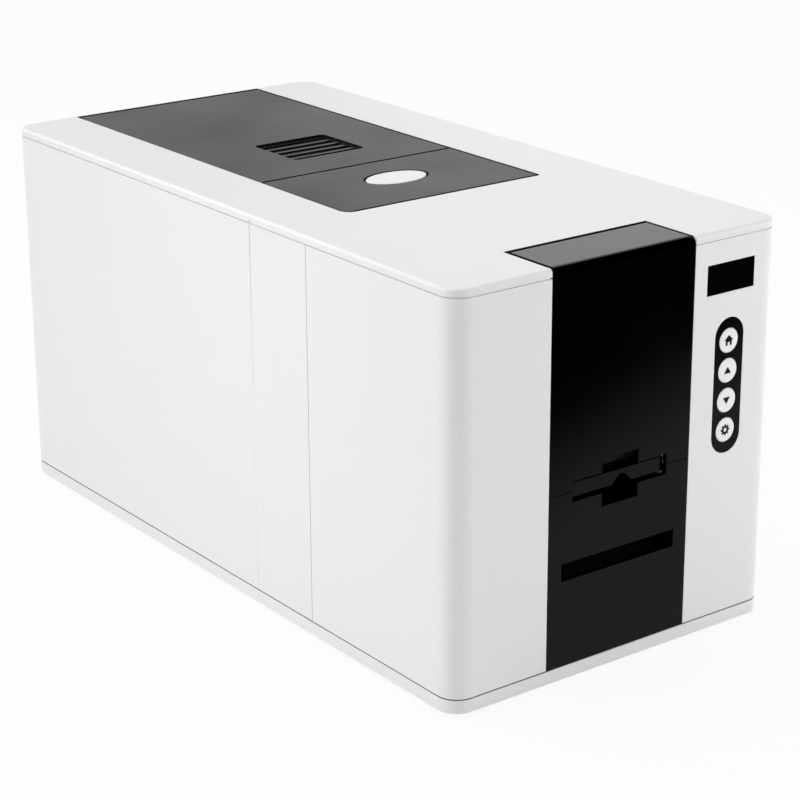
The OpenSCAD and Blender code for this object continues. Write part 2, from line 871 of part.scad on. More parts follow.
// Outline of a frame plate in Y and Z
module frame_outline() {
    tower = front + take_up_y;
    translate([channel_back + 4, floor_z]) square([frame_end - channel_back - 4, frame_top - floor_z]);
    translate([tower - ribbon_motor_r - 2, frame_top - eps])
        square([2 * ribbon_motor_r + 4, tower_top - frame_top + eps]);
}

// Frame plate on the right; the left one is its mirror image
module frame_plate() {
    difference() {
        union() {
            profile_x(frame_x, frame_t) difference() {
                frame_outline();
                for (y = [platen_y + 40, transport_y - 22, pick_y + 4])
                    translate([front + y, floor_z + 32]) circle(14);
                translate([front + take_up_y, spool_z]) circle(spindle_r + 1);
            }
            span([frame_x, channel_back + 4, floor_z],
                [frame_x + frame_t + flange_w, frame_end, floor_z + frame_t]);
        }
        for (p = concat(shaft_places(), pinch_places()))
            rod_x(frame_x - eps, p[0], p[1], bushing_r, frame_t + 2 * eps);
        for (p = floor_screws()) if (p[0] > 0) translate([p[0], p[1], floor_z - eps])
            cylinder(h = frame_t + 2 * eps, r = screw_r);
    }
}

module left_frame_plate() {
    color("silver") mirror([1, 0, 0]) frame_plate();
}

module right_frame_plate() {
    color("silver") difference() {
        frame_plate();
        rod_x(frame_x - eps, motor_y, motor_z, motor_boss_r, frame_t + 2 * eps);
    }
}

module tie_rods() {
    color("silver") for (y = [rod_first, transport_y - rod_mid, supply_y + rod_last])
        rod_x(-frame_x, front + y, floor_z + rod_up, rod_r, frame_w);
}

module card_deck() {
    start = feed_shaft_y - roller_r - window_gap;
    color("#2a2b2e") difference() {
        union() {
            bridge(frame_w, start, frame_end - 4, deck_z - deck_t, deck_z);
            // Side guides for the card's edges, between the pinch rollers and the ribbon cradle
            both_sides()
                span([card_w / 2 + card_gap, start, deck_z - eps],
                    [card_w / 2 + card_gap + guide_t, cradle_start - 3, deck_z + guide_t]);
        }
        for (y = [feed_y, transport_y, platen_y]) roller_window(front + y);
    }
}

// Ramp that leads printed cards down to the exit slot
module exit_chute() {
    high = shaft_z - roller_r - 4;
    end = feed_shaft_y - roller_r - 6;
    t = chute_wall;
    color("#2a2b2e") {
        profile_x(-frame_x, frame_w)
            polygon([[channel_back, chute_low], [end, high], [end, high - t], [channel_back, chute_low - t]]);
        bridge(exit_w + 2 * t, channel_y, channel_back + eps, chute_low - t, chute_low);
        for (x = [-exit_w / 2 - t, exit_w / 2]) profile_x(x, t) polygon([[channel_y, chute_low - t],
            [channel_back, chute_low - t], [end, high - t], [end, high + 3], [channel_y, chute_low + 8]]);
    }
}

// Board with a finned heat sink, a row of capacitors and a row of plug headers
module main_board() {
    z0 = floor_z + post_h;
    z1 = z0 + board_t;
    color("darkgreen") {
        bridge(2 * (post_x + board_edge), main_y - board_edge, main_y + board_l + board_edge, z0, z1);
        for (i = [0:sink_n - 1]) translate([(i - (sink_n - 1) / 2) * sink_pitch - sink_in, 0, 0])
            bridge(sink_fin, board_row, board_row + sink_l, z1 - eps, z1 + sink_h);
        translate([-sink_in, 0, 0])
            bridge((sink_n - 1) * sink_pitch + sink_fin, board_row, board_row + sink_l,
                z1 - eps, z1 + sink_base);
        for (i = [0:2]) upright([post_x - cap_in, board_row + i * cap_pitch], z1 - eps, eps + cap_h, cap_r);
        for (i = [-1:1]) translate([header_in - post_x, board_row + i * header_pitch, 0])
            bridge(header_w, 0, header_l, z1 - eps, z1 + header_h);
    }
}

module power_supply() {
    x0 = inside + psu_side - side;
    color("silver") difference() {
        span([x0, psu_y, floor_z], [x0 + psu_w, psu_y + psu_l, floor_z + psu_h]);
        for (i = [-3.5:3.5], j = [-1, 1]) rod_x(x0 - eps, psu_y + psu_l / 2 + i * psu_vent_pitch,
            floor_z + psu_h / 2 + j * psu_vent_pitch, psu_vent_r, eps + psu_vent_r / 2);
    }
}

module power_inlet() {
    color("#1c1c1e") difference() {
        union() {
            translate([inlet_x, 0, inlet_z]) {
                span([-inlet_w / 2 - 2 + fit, rear - inlet_flange, -inlet_h / 2 - 2 + fit],
                    [inlet_w / 2 + 2 - fit, rear, inlet_h / 2 + 2 - fit]);
                span([-inlet_w / 2 + fit, rear - inlet_deep, -inlet_h / 2 + fit],
                    [inlet_w / 2 - fit, rear - eps, inlet_h / 2 - fit]);
            }
        }
        translate([socket_x, 0, inlet_z]) profile_y(rear - socket_deep, socket_deep + eps) polygon([
            [-12.3, -8.5], [12.3, -8.5], [12.3, 4], [8, 8.5], [-8, 8.5], [-12.3, 4]]);
        translate([rocker_x, 0, inlet_z])
            span([-rocker_w / 2 - move_gap, rear - rocker_deep, -rocker_h / 2 - move_gap],
                [rocker_w / 2 + move_gap, rear + eps, rocker_h / 2 + move_gap]);
        rod_x(rocker_x - rocker_w / 2 - 2.5, rocker_y, inlet_z, pin_r + run_gap, rocker_w + 5);
    }
    color("silver") for (p = [[-7, -2], [0, 2], [7, -2]]) translate([socket_x + p[0], 0, inlet_z + p[1]])
        span([-1, rear - socket_deep - 0.5, -2.5], [1, rear - 5.5, 2.5]);
}

// The rocker rests tilted, with its lower end pressed in
module power_rocker() {
    color("#101012") translate([rocker_x, rocker_y, inlet_z]) rotate([-rocker_tilt, 0, 0]) {
        rod_x(-rocker_w / 2 - 2, 0, 0, pin_r, rocker_w + 4);
        span([-rocker_w / 2, -3, -rocker_h / 2 + 0.6], [rocker_w / 2, 4.2, rocker_h / 2 - 0.6]);
    }
}

// Metal sleeve of a data port with a moulded tongue inside
module port(x, w, h) {
    translate([x, 0, port_z]) {
        difference() {
            span([-w / 2, rear - port_deep, -h / 2], [w / 2, rear - 0.5, h / 2]);
            span([-w / 2 + 1, rear - port_deep + 2, -h / 2 + 1], [w / 2 - 1, rear + eps, h / 2 - 1]);
        }
        span([-w / 2 + 3.5, rear - port_deep + 1, -1.2], [w / 2 - 3.5, rear - 6, 1.2]);
    }
}

module data_ports() {
    color("silver") {
        port(usb_x, usb_w, usb_h);
        port(lan_x, lan_w, lan_h);
    }
}

module drive_motor() {
    color("#55565a") difference() {
        union() {
            rod_x(frame_x - motor_l, motor_y, motor_z, motor_r, motor_l);
            rod_x(frame_x - eps, motor_y, motor_z, motor_boss_r, frame_t + eps);
        }
        rod_x(frame_x - 12, motor_y, motor_z, motor_shaft_r + run_gap, 12 + frame_t + eps);
    }
}

module ribbon_motor() {
    end = -frame_x - frame_t;
    color("#55565a") difference() {
        rod_x(end - ribbon_motor_l, front + take_up_y, spool_z, ribbon_motor_r, ribbon_motor_l);
        rod_x(end - 4, front + take_up_y, spool_z, spindle_r + run_gap, 4 + eps);
    }
}

// Flanged bushing in a frame plate's hole, with its flange on the outside
module bushing() {
    total = frame_t + bushing_flange_t;
    difference() {
        union() {
            cylinder(h = total, r = bushing_r);
            translate([0, 0, frame_t]) cylinder(h = bushing_flange_t, r = bushing_r + 1.5);
        }
        translate([0, 0, -eps]) cylinder(h = total + 2 * eps, r = shaft_r + run_gap);
    }
}

module roller_bushings() {
    color("goldenrod") for (p = concat(shaft_places(), pinch_places())) {
        translate([frame_x, p[0], p[1]]) rotate([0, 90, 0]) bushing();
        translate([-frame_x, p[0], p[1]]) rotate([0, -90, 0]) bushing();
    }
}

module ribbon_cradle() {
    color("#2f6f8f") {
        both_sides() profile_x(cradle_in, cradle_t) difference() {
            polygon([[cradle_start, deck_z], [cradle_end, deck_z], [cradle_end, cradle_top],
                [platen_shaft_y + 40, cradle_top], [platen_shaft_y + 32, cradle_low],
                [platen_shaft_y - 22, cradle_low], [platen_shaft_y - 26, cradle_top],
                [cradle_start, cradle_top]]);
            for (y = [take_up_y, supply_y]) translate([front + y, spool_z]) circle(spindle_r + run_gap);
        }
        for (y = [cradle_start, cradle_end - 4])
            bridge(2 * cradle_in + eps, y, y + 4, deck_z + 3, cradle_low);
    }
}

// Spool core with a spindle that turns in the cradle; reach is the spindle's left end
module spool(y, reach) {
    rod_x(-ribbon_w / 2, y, spool_z, core_r, ribbon_w);
    for (x = [-ribbon_w / 2 - 1.5, ribbon_w / 2]) rod_x(x, y, spool_z, core_r + 1.5, 1.5);
    rod_x(-reach, y, spool_z, spindle_r, reach + cradle_in + cradle_t + 2);
}

module take_up_spool() {
    color("#d8d8da") spool(front + take_up_y, frame_x + frame_t + 3);
}

module supply_spool() {
    color("#d8d8da") spool(front + supply_y, cradle_in + cradle_t + 2);
}

module supply_ribbon() {
    color("#1d2540") difference() {
        rod_x(-ribbon_w / 2, front + supply_y, spool_z, supply_r, ribbon_w);
        rod_x(-ribbon_w / 2 - eps, front + supply_y, spool_z, core_r, ribbon_w + 2 * eps);
    }
}

module hinge_pins() {
    color("silver") both_sides() {
        rod_x(strip_w / 2 - pin_in, cover_hinge_y, hinge_z, pin_r, pin_in + strip_gap + pin_out);
        rod_x(lid_w / 2 - pin_in, lid_hinge_y, hinge_z, pin_r, pin_in + top_gap + pin_out);
    }
}

module panel_screws() {
    color("dimgray") {
        for (p = rear_screws()) {
            rod_y(p[0], rear - inside, p[1], screw_r, inside);
            rod_y(p[0], rear - screw_head_h, p[1], screw_head_r, screw_head_h - 0.2);
        }
        for (p = floor_screws()) translate([p[0], p[1], foot_h]) {
            cylinder(h = floor_t + frame_t, r = screw_r);
            translate([0, 0, 0.2]) cylinder(h = screw_head_h - 0.2, r = screw_head_r);
        }
    }
}

// Outline of the belt's loop at a radius round the first and last pulley
module belt_loop(r) {
    y0 = front + pick_y;
    y1 = front + platen_y;
    translate([y0, shaft_z - r]) square([y1 - y0, 2 * r]);
    for (y = [y0, y1]) translate([y, shaft_z]) circle(r);
}

module drive_belt() {
    r = pulley_r + belt_gap;
    color("#222222") profile_x(pulley_x + flange_t + belt_side, belt_w) difference() {
        belt_loop(r + belt_t);
        belt_loop(r);
    }
}

module hopper_cover() {
    bend_y = front + bend_r;
    bend_z = top_z - bend_r;
    color("#101012") difference() {
        profile_x(-strip_w / 2, strip_w) {
            translate([front, cover_bottom]) square([panel_t, bend_z - cover_bottom]);
            translate([bend_y, top_z - lid_t]) square([cover_hinge_y - bend_y, lid_t]);
            translate([cover_hinge_y, hinge_z]) circle(barrel_r);
            intersection() {
                translate([bend_y, bend_z]) difference() {
                    circle(bend_r);
                    circle(bend_r - min(panel_t, lid_t));
                }
                translate([front, bend_z]) square([bend_r, bend_r]);
            }
        }
        feed_mouth(front - eps, channel_y, 0);
        thumb_notches(front - eps, channel_y, 0);
        both_sides()
            rod_x(strip_w / 2 - pin_in - fit, cover_hinge_y, hinge_z, pin_r + run_gap, pin_in + fit + eps);
        // Shadow groove along both sides of the return
        both_sides()
            span([strip_w / 2 - return_groove, front - eps, top_z - return_sink],
                [strip_w / 2 + eps, front + return_l + eps, top_z + eps]);
    }
}

module feed_flap() {
    color("#2a2b2e") {
        rod_x(-slot_w / 2 - 2, flap_y, flap_hinge_z, bar_r, slot_w + 4);
        difference() {
            bridge(slot_w - 2 * move_gap, front + flap_inset, flap_y + 0.6, flap_top - flap_h, flap_top);
            // Thumb cut-out in the lower edge
            profile_y(front, 2 * strip_t + channel_t) translate([flap_cut_x, flap_top - flap_h])
                polygon([[-flap_wide, -eps], [flap_wide, -eps], [flap_wide, 0],
                    [flap_wide / 4, flap_cut], [-flap_wide / 4, flap_cut], [-flap_wide, 0]]);
        }
    }
}

module card_weight() {
    z0 = deck_z + move_gap;
    y0 = channel_back + flap_swing + weight_gap;
    y1 = hopper_end - weight_gap;
    color("#6a6c70") {
        bridge(hopper_w - 2 * weight_gap, y0, y1, z0, z0 + weight_plate);
        difference() {
            bridge(hopper_w - 22, y0 + 8, y1 - 8, z0 + weight_plate - eps, z0 + weight_h);
            bridge(hopper_w - 30, y0 + 14, y0 + 34, z0 + weight_plate + 1, z0 + weight_h + eps);
        }
    }
}

// Rubber sleeve of a driven roller
module sleeve(y) {
    difference() {
        rod_x(-roller_w / 2, front + y, shaft_z, roller_r, roller_w);
        rod_x(-roller_w / 2 - eps, front + y, shaft_z, shaft_r, roller_w + 2 * eps);
    }
}

// Steel shaft with its belt pulley; extra lengthens it on the right
module driven_shaft(y, extra) {
    left = frame_x + frame_t + shaft_end;
    rod_x(-left, front + y, shaft_z, shaft_r, left + pulley_x + pulley_w + extra);
    rod_x(pulley_x, front + y, shaft_z, pulley_r, pulley_w);
    for (x = [pulley_x, pulley_x + pulley_w - flange_t])
        rod_x(x, front + y, shaft_z, pulley_r + flange_up, flange_t);
}

module pick_roller() {
    color("#3b3b3d") sleeve(pick_y);
}

module pick_shaft() {
    color("silver") driven_shaft(pick_y, 0);
}

module feed_roller() {
    color("#3b3b3d") sleeve(feed_y);
}

module feed_shaft() {
    color("silver") driven_shaft(feed_y, 1 + gear_w);
}

module transport_roller() {
    color("#3b3b3d") sleeve(transport_y);
}

module transport_shaft() {
    color("silver") driven_shaft(transport_y, 0);
}

module platen_roller() {
    color("#3b3b3d") sleeve(platen_y);
}

module platen_shaft() {
    color("silver") driven_shaft(platen_y, 0);
}

module pinch(y) {
    l = frame_x + frame_t + 1;
    rod_x(-l, front + y, pinch_z, shaft_r, 2 * l);
    rod_x(-roller_w / 2, front + y, pinch_z, pinch_r, roller_w);
}

module feed_pinch() {
    color("#8d8f94") pinch(feed_y);
}

module transport_pinch() {
    color("#8d8f94") pinch(transport_y);
}

// Spur gear outline with plain tapered teeth; the first tooth points along +X
module gear_outline(n) {
    r = gear_m * n / 2;
    root = r - 1.1 * gear_m;
    tip = r + 0.8 * gear_m;
    base = 0.3 * PI * gear_m;
    land = 0.12 * PI * gear_m;
    circle(root);
    for (i = [0:n - 1]) rotate(i * 360 / n)
        polygon([[root - 0.3, -base], [tip, -land], [tip, land], [root - 0.3, base]]);
}

module drive_gear() {
    color("#e8e6df") translate([gear_x, feed_shaft_y, shaft_z]) rotate([90, 0, 90]) linear_extrude(gear_w)
        difference() {
            rotate(mesh_angle) gear_outline(gear_n);
            circle(shaft_r);
            for (i = [0:4]) rotate(i * 72) translate([gear_r * 0.55, 0]) circle(gear_r * 0.16);
        }
}

module motor_pinion() {
    color("goldenrod") {
        translate([gear_x, motor_y, motor_z]) rotate([90, 0, 90]) linear_extrude(gear_w)
            rotate(mesh_angle + 180 + 180 / pinion_n) gear_outline(pinion_n);
        rod_x(frame_x - 10, motor_y, motor_z, motor_shaft_r, gear_x - frame_x + 10 + gear_w);
    }
}

module ribbon_lid() {
    color("#3a3a3c") difference() {
        union() {
            eased_plate(lid_w, lid_front, lid_hinge_y, lid_t);
            rod_x(-lid_w / 2, lid_hinge_y, hinge_z, barrel_r, lid_w);
            bridge(hook_w, striker_y, striker_y + striker_t, hook_z + striker_up, top_z - lid_t + eps);
            both_sides()
                span([lid_w / 2 - rib_x, lid_front + rib_x, fan_z - rib_h],
                    [lid_w / 2 - rib_x + rib_t, lid_hinge_y - boss - rib_h, fan_z + eps]);
        }
        translate([vent_x, fan_y, 0]) {
            translate([0, 0, top_z - vent_sink]) linear_extrude(vent_sink + eps)
                round_rect(vent_l + 2 * vent_side, 2 * (vent_reach + vent_end), vent_corner_r);
            for (i = [0:vent_n - 1]) translate([0, (i - (vent_n - 1) / 2) * vent_pitch, top_z - lid_t - eps])
                linear_extrude(lid_t + 2 * eps) round_rect(vent_l, vent_slot, vent_slot_r);
        }
        both_sides()
            rod_x(lid_w / 2 - pin_in - fit, lid_hinge_y, hinge_z, pin_r + run_gap, pin_in + fit + eps);
    }
}

module head_bracket() {
    color("#9a9ca0") {
        both_sides() difference() {
            span([bracket_w / 2 - bracket_t, head_front + 1, head_z + head_base_h],
                [bracket_w / 2, head_front + head_deep, fan_z]);
            rod_x(bracket_w / 2 - bracket_t - eps, head_front + head_deep / 2,
                head_z + head_h + bracket_hole_up, bracket_hole_r, bracket_t + 2 * eps);
        }
        bridge(bracket_w - bracket_t, head_front + 1, head_front + head_deep,
            head_z + head_h + bridge_up, head_z + head_h + bridge_up + bracket_t);
    }
}

module print_head() {
    color("#b9bbc0") {
        bridge(ribbon_w, head_front, head_front + head_deep, head_z, head_z + head_base_h);
        for (i = [-head_fins:head_fins]) translate([i * head_fin_pitch, 0, 0])
            bridge(head_fin, head_front + 2 * bridge_up, head_front + head_deep - bridge_up,
                head_z + head_base_h - eps, head_z + head_h);
    }
}

module fan_frame() {
    color("#1a1a1c") translate([vent_x, fan_y, fan_z - fan_h]) {
        difference() {
            bridge(fan_w, -fan_w / 2, fan_w / 2, 0, fan_h);
            translate([0, 0, -eps]) cylinder(h = fan_h + 2 * eps, r = fan_wall_r);
        }
        cylinder(h = fan_strut_t, r = fan_hub_r);
        cylinder(h = fan_pin_h, r = fan_pin_r);
        for (i = [0:2]) rotate(i * 120)
            span([fan_hub_r - 1, -fan_strut_w / 2, 0], [fan_wall_r + 1, fan_strut_w / 2, fan_strut_t]);
    }
}

module fan_rotor() {
    color("#232325") translate([vent_x, fan_y, fan_z - fan_h + fan_strut_t + move_gap]) difference() {
        union() {
            cylinder(h = fan_rotor_h, r = fan_hub_r);
            for (i = [0:blade_n - 1]) rotate(i * 360 / blade_n)
                translate([fan_hub_r - 1, 0, fan_rotor_h / 2])
                rotate([blade_lean, 0, 0]) span([0, -blade_w / 2, -blade_t / 2],
                    [fan_wall_r - fan_hub_r - fan_tip_gap, blade_w / 2, blade_t / 2]);
        }
        translate([0, 0, -eps]) cylinder(h = eps + fan_pin_h, r = fan_pin_r + run_gap);
    }
}

module release_button() {
    color("white") difference() {
        oval_rod(0, button_bottom, top_z);
        difference() {
            oval_rod(-button_wall, button_bottom - eps, top_z - button_wall);
            translate([0, button_mid_y, button_bottom - 2 * eps])
                cylinder(h = button_h + eps, r = button_post);
        }
    }
}

module latch_hook() {
    tooth_tip = striker_y - move_gap;
    tip_z = button_bottom - move_gap;
    color("#c9cbd0") {
        profile_x(-hook_w / 2, hook_w) {
            translate([hook_y, hook_z]) circle(3);
            translate([button_mid_y - 2, hook_z - 1.5]) square([hook_arm + 2, 3]);
            translate([button_mid_y - 2, hook_z]) square([4, tip_z - hook_z]);
            translate([hook_y - 1.5, hook_z]) square([3, 10]);
            polygon([[hook_y, hook_z + 6], [tooth_tip, hook_z + 6],
                [hook_y + 2, hook_z + 10], [hook_y, hook_z + 10]]);
        }
        rod_x(-hook_w / 2 - fit - ear_t, hook_y, hook_z, hook_pin_r, hook_w + 2 * (fit + ear_t));
    }
}

module key(i) {
    color("white") {
        rod_y(disp_x, front, key_z(i), key_d / 2, key_h);
        rod_y(disp_x, front + bezel_t + fit, key_z(i), key_d / 2 + key_flange_out, key_flange_t);
    }
}

module home_key() {
    key(0);
}

module up_key() {
    key(1);
}

module down_key() {
    key(2);
}

module setup_key() {
    key(3);
}

base_tray();
rubber_feet();
front_shell();
left_pillar_panel();
left_side_panel();
right_side_panel();
rear_panel();
top_cover();
control_plate();
lower_front_panel();
display_window();
control_board();
keypad_bezel();
card_hopper();
left_frame_plate();
right_frame_plate();
tie_rods();
card_deck();
exit_chute();
main_board();
power_supply();
power_inlet();
data_ports();
drive_motor();
ribbon_motor();
roller_bushings();
ribbon_cradle();
hinge_pins();
panel_screws();
drive_belt();
hopper_cover();
feed_flap();
card_weight();
pick_roller();
pick_shaft();
feed_roller();
feed_shaft();
transport_roller();
transport_shaft();
platen_roller();
platen_shaft();
feed_pinch();
transport_pinch();
drive_gear();
motor_pinion();
take_up_spool();
supply_spool();
supply_ribbon();
ribbon_lid();
head_bracket();
print_head();
fan_frame();
fan_rotor();
release_button();
latch_hook();
home_key();
up_key();
down_key();
setup_key();
power_rocker();
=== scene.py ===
# %% [markdown]
# # A desktop printer for plastic ID cards
# The construction is already settled and comes in as a fixed frame: every panel, shaft and key has
# its place and its real size. This notebook dresses that frame. It gives each part a finish, and adds
# the pieces that are easier to work out as surfaces than as solids: keys, screws, fan, belt and trim.

# %% Load the frame
import json
import math

import bmesh
import bpy
import numpy as np
from mathutils import Matrix, Vector


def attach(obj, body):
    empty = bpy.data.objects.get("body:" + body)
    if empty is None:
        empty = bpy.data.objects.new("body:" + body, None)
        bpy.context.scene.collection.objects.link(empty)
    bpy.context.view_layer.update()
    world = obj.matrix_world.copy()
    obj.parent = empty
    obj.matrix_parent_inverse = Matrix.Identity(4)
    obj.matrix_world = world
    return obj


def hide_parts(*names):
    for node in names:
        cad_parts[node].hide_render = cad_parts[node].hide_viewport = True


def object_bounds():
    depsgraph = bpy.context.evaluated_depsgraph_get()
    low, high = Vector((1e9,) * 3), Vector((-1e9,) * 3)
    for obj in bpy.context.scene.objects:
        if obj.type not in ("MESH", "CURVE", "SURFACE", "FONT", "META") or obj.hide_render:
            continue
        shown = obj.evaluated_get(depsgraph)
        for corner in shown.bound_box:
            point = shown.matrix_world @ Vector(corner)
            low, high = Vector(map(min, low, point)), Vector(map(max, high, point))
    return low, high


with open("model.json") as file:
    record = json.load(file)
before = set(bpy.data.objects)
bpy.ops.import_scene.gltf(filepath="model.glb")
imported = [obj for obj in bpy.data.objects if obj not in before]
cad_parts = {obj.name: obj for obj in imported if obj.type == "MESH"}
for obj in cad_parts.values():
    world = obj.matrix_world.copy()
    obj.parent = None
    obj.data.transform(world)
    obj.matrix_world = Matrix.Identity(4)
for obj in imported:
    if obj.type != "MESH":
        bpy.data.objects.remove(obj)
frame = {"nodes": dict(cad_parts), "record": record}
cad_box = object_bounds()
MM = 0.001

# %% [markdown]
# ## Camera
# A product shot is taken with a long lens from well back, so that upright edges stay nearly
# parallel. The camera is built from its yaw, pitch and roll instead of being aimed at a point,
# because those three angles can be measured one at a time.

# %% Camera
CAMERA_PLACE = Vector((-0.7005, -0.9683, 0.5075))
YAW, PITCH, ROLL = (math.radians(a) for a in (36.55, 19.24, -0.34))
LENS = 106.15
SHIFT = (0.00444, -0.02598)


def camera_turn(yaw, pitch, roll):
    """Rotation whose columns are the camera's right, up and backward directions."""
    ahead = Vector((math.cos(pitch) * math.sin(yaw), math.cos(pitch) * math.cos(yaw), -math.sin(pitch)))
    right = Vector((math.cos(yaw), -math.sin(yaw), 0))
    up = right.cross(ahead)
    turned_right = right * math.cos(roll) + up * math.sin(roll)
    turned_up = up * math.cos(roll) - right * math.sin(roll)
    return Matrix((turned_right, turned_up, -ahead)).transposed()


camera = bpy.data.objects.new("camera", bpy.data.cameras.new("camera"))
bpy.context.scene.collection.objects.link(camera)
camera.data.lens = LENS
camera.data.shift_x, camera.data.shift_y = SHIFT
camera.matrix_world = Matrix.Translation(CAMERA_PLACE) @ camera_turn(YAW, PITCH, ROLL).to_4x4()
bpy.context.scene.camera = camera
print("camera", round(CAMERA_PLACE.length, 2), "m from the printer's foot")

# %% [markdown]
# ## Stage and light
# The printer stands on a white table in a white room. One large soft box stands to the left, a
# second hangs overhead and a weaker one fills the front from the right. A small box behind lights the
# long upper edge, and a narrow spot lifts the middle of the left side. The room is a pale world. The
# camera sees it as plain white, and so does gloss, except towards the front, where the room is dark,
# and in one soft valley to the rear right, which gives the dark plates on top their tone.

# %% Nodes helper


def wire(tree, source, target):
    """Joins an output socket to an input socket."""
    tree.links.new(source, target)


def add_node(tree, kind, **settings):
    """A new node of that kind, with its own properties set."""
    node = tree.nodes.new("ShaderNode" + kind)
    for name, value in settings.items():
        setattr(node, name, value)
    return node


def math_node(tree, operation, a, b):
    """A Math node on two sources; each is a socket or a number."""
    node = add_node(tree, "Math", operation=operation)
    for socket, value in zip(node.inputs, (a, b)):
        if isinstance(value, (int, float)):
            socket.default_value = value
        else:
            wire(tree, value, socket)
    return node.outputs[0]


def ranged(tree, source, low, high, start, end, curve="LINEAR"):
    """A socket's value carried from the range low to high over to the range start to end."""
    node = add_node(tree, "MapRange", interpolation_type=curve)
    wire(tree, source, node.inputs["Value"])
    for name, value in (("From Min", low), ("From Max", high), ("To Min", start), ("To Max", end)):
        if isinstance(value, (int, float)):
            node.inputs[name].default_value = value
        else:
            wire(tree, value, node.inputs[name])
    return node.outputs["Result"]


def seen_ray(tree):
    """1 for rays from the camera, from gloss and through glass, and 0 for the light on the object."""
    path = add_node(tree, "LightPath")
    seen = math_node(tree, "MAXIMUM", path.outputs["Is Camera Ray"], path.outputs["Is Glossy Ray"])
    return math_node(tree, "MAXIMUM", seen, path.outputs["Is Transmission Ray"])


# %% World
ROOM_LIGHT = 0.42
ROOM_SEEN = 1.0
ROOM_FRONT = 0.03
ROOM_FRONT_END, ROOM_REAR_START = 0.1, 0.55
ROOM_VALLEY = ((0.0, 1.0), (0.45, 1.0), (0.55, 0.7), (0.62, 0.68), (0.70, 0.85), (0.78, 1.0), (1.0, 1.0))
world = bpy.data.worlds.new("room")
bpy.context.scene.world = world
world.use_nodes = True
room = world.node_tree
background = room.nodes["Background"]
background.inputs["Color"].default_value = (1, 1, 1, 1)
bright = ranged(room, seen_ray(room), 0, 1, ROOM_LIGHT, ROOM_SEEN)
heading = add_node(room, "SeparateXYZ")
wire(room, add_node(room, "TexCoord").outputs["Generated"], heading.inputs["Vector"])
front_dark = ranged(room, heading.outputs["Y"], ROOM_FRONT_END, ROOM_REAR_START, ROOM_FRONT, ROOM_SEEN,
                    "SMOOTHSTEP")
rearward = math_node(room, "MAXIMUM", heading.outputs["Y"], ROOM_FRONT_END)
sideways = math_node(room, "DIVIDE", heading.outputs["X"], rearward)
valley = add_node(room, "FloatCurve")
wire(room, sideways, valley.inputs["Value"])
curve = valley.mapping.curves[0]
for spot, (x, y) in zip(list(curve.points), (ROOM_VALLEY[0], ROOM_VALLEY[-1])):
    spot.location = (x, y)
for x, y in ROOM_VALLEY[1:-1]:
    curve.points.new(x, y)
valley.mapping.update()
gloss_room = math_node(room, "MULTIPLY", front_dark, valley.outputs["Value"])
gloss_ray = add_node(room, "LightPath").outputs["Is Glossy Ray"]
wire(room, ranged(room, gloss_ray, 0, 1, bright, gloss_room), background.inputs["Strength"])
print("room light", ROOM_LIGHT, "seen as", ROOM_SEEN)

# %% Floor
FLOOR_REACH = 6.0
FLOOR_GLOW = 0.9
FLOOR_TONE = 0.9
bpy.ops.mesh.primitive_circle_add(vertices=96, radius=FLOOR_REACH, fill_type="NGON")
floor = bpy.context.object
floor.name = "table"
floor_paint = bpy.data.materials.new("table_paint")
floor_paint.use_nodes = True
tree = floor_paint.node_tree
matt = tree.nodes["Principled BSDF"]
matt.inputs["Base Color"].default_value = (FLOOR_TONE, FLOOR_TONE, FLOOR_TONE, 1)
matt.inputs["Roughness"].default_value = 1.0
matt.inputs["Specular IOR Level"].default_value = 0.0
glow = add_node(tree, "Emission")
blend = add_node(tree, "MixShader")
wire(tree, math_node(tree, "MULTIPLY", seen_ray(tree), FLOOR_GLOW), blend.inputs["Fac"])
wire(tree, matt.outputs["BSDF"], blend.inputs[1])
wire(tree, glow.outputs["Emission"], blend.inputs[2])
wire(tree, blend.outputs["Shader"], tree.nodes["Material Output"].inputs["Surface"])
floor.data.materials.append(floor_paint)
print("table of", FLOOR_REACH, "m radius")

# %% Lamps
SOFT_BOXES = {
    "left_box": ((-2.2, 0.45, 1.1), (0, 0, 0.1), 1.6, 17.3),
    "top_box": ((-0.2, 0.3, 2.3), (0, 0, 0.1), 1.8, 19.8),
    "front_box": ((1.0, -1.05, 0.3), (0.1, -0.2, 0.1), 0.7, 9.6),
    "rim_box": ((-1.1, 2.5, 1.9), (0, 0, 0.15), 1.0, 12),
}
SPOT_PLACE, SPOT_AIM = (-2.2, -0.1, 0.9), (-0.1, -0.05, 0.175)
SPOT_POWER, SPOT_ANGLE, SPOT_RADIUS = 24, 13, 0.15


def add_lamp(name, kind, place, aim, power):
    """A lamp of that kind at place, turned towards aim."""
    lamp = bpy.data.objects.new(name, bpy.data.lights.new(name, kind))
    bpy.context.scene.collection.objects.link(lamp)
    lamp.data.energy = power
    lamp.location = place
    lamp.rotation_euler = (Vector(aim) - Vector(place)).to_track_quat("-Z", "Y").to_euler()
    return lamp


boxes = {}
for name, (place, aim, size, power) in SOFT_BOXES.items():
    boxes[name] = add_lamp(name, "AREA", place, aim, power)
    boxes[name].data.size = size
boxes["front_box"].visible_glossy = False
accent = add_lamp("accent", "SPOT", SPOT_PLACE, SPOT_AIM, SPOT_POWER)
accent.data.spot_size = math.radians(SPOT_ANGLE)
accent.data.spot_blend = 1.0
accent.data.shadow_soft_size = SPOT_RADIUS
bpy.context.scene.view_settings.view_transform = "Standard"
print(len(boxes), "soft boxes and a spot")

# %% [markdown]
# ## Black flag
# Gloss black has almost no colour of its own and shows whatever lies opposite. A studio lays a dark
# card in front of such a panel, and so does this scene. Only glossy rays see the card, so it takes no
# light from the printer and shows only in its gloss. It glows more strongly towards the printer's
# foot: the glow follows y + FLAG_LEAN * x, so that the brighter part runs on to the right.

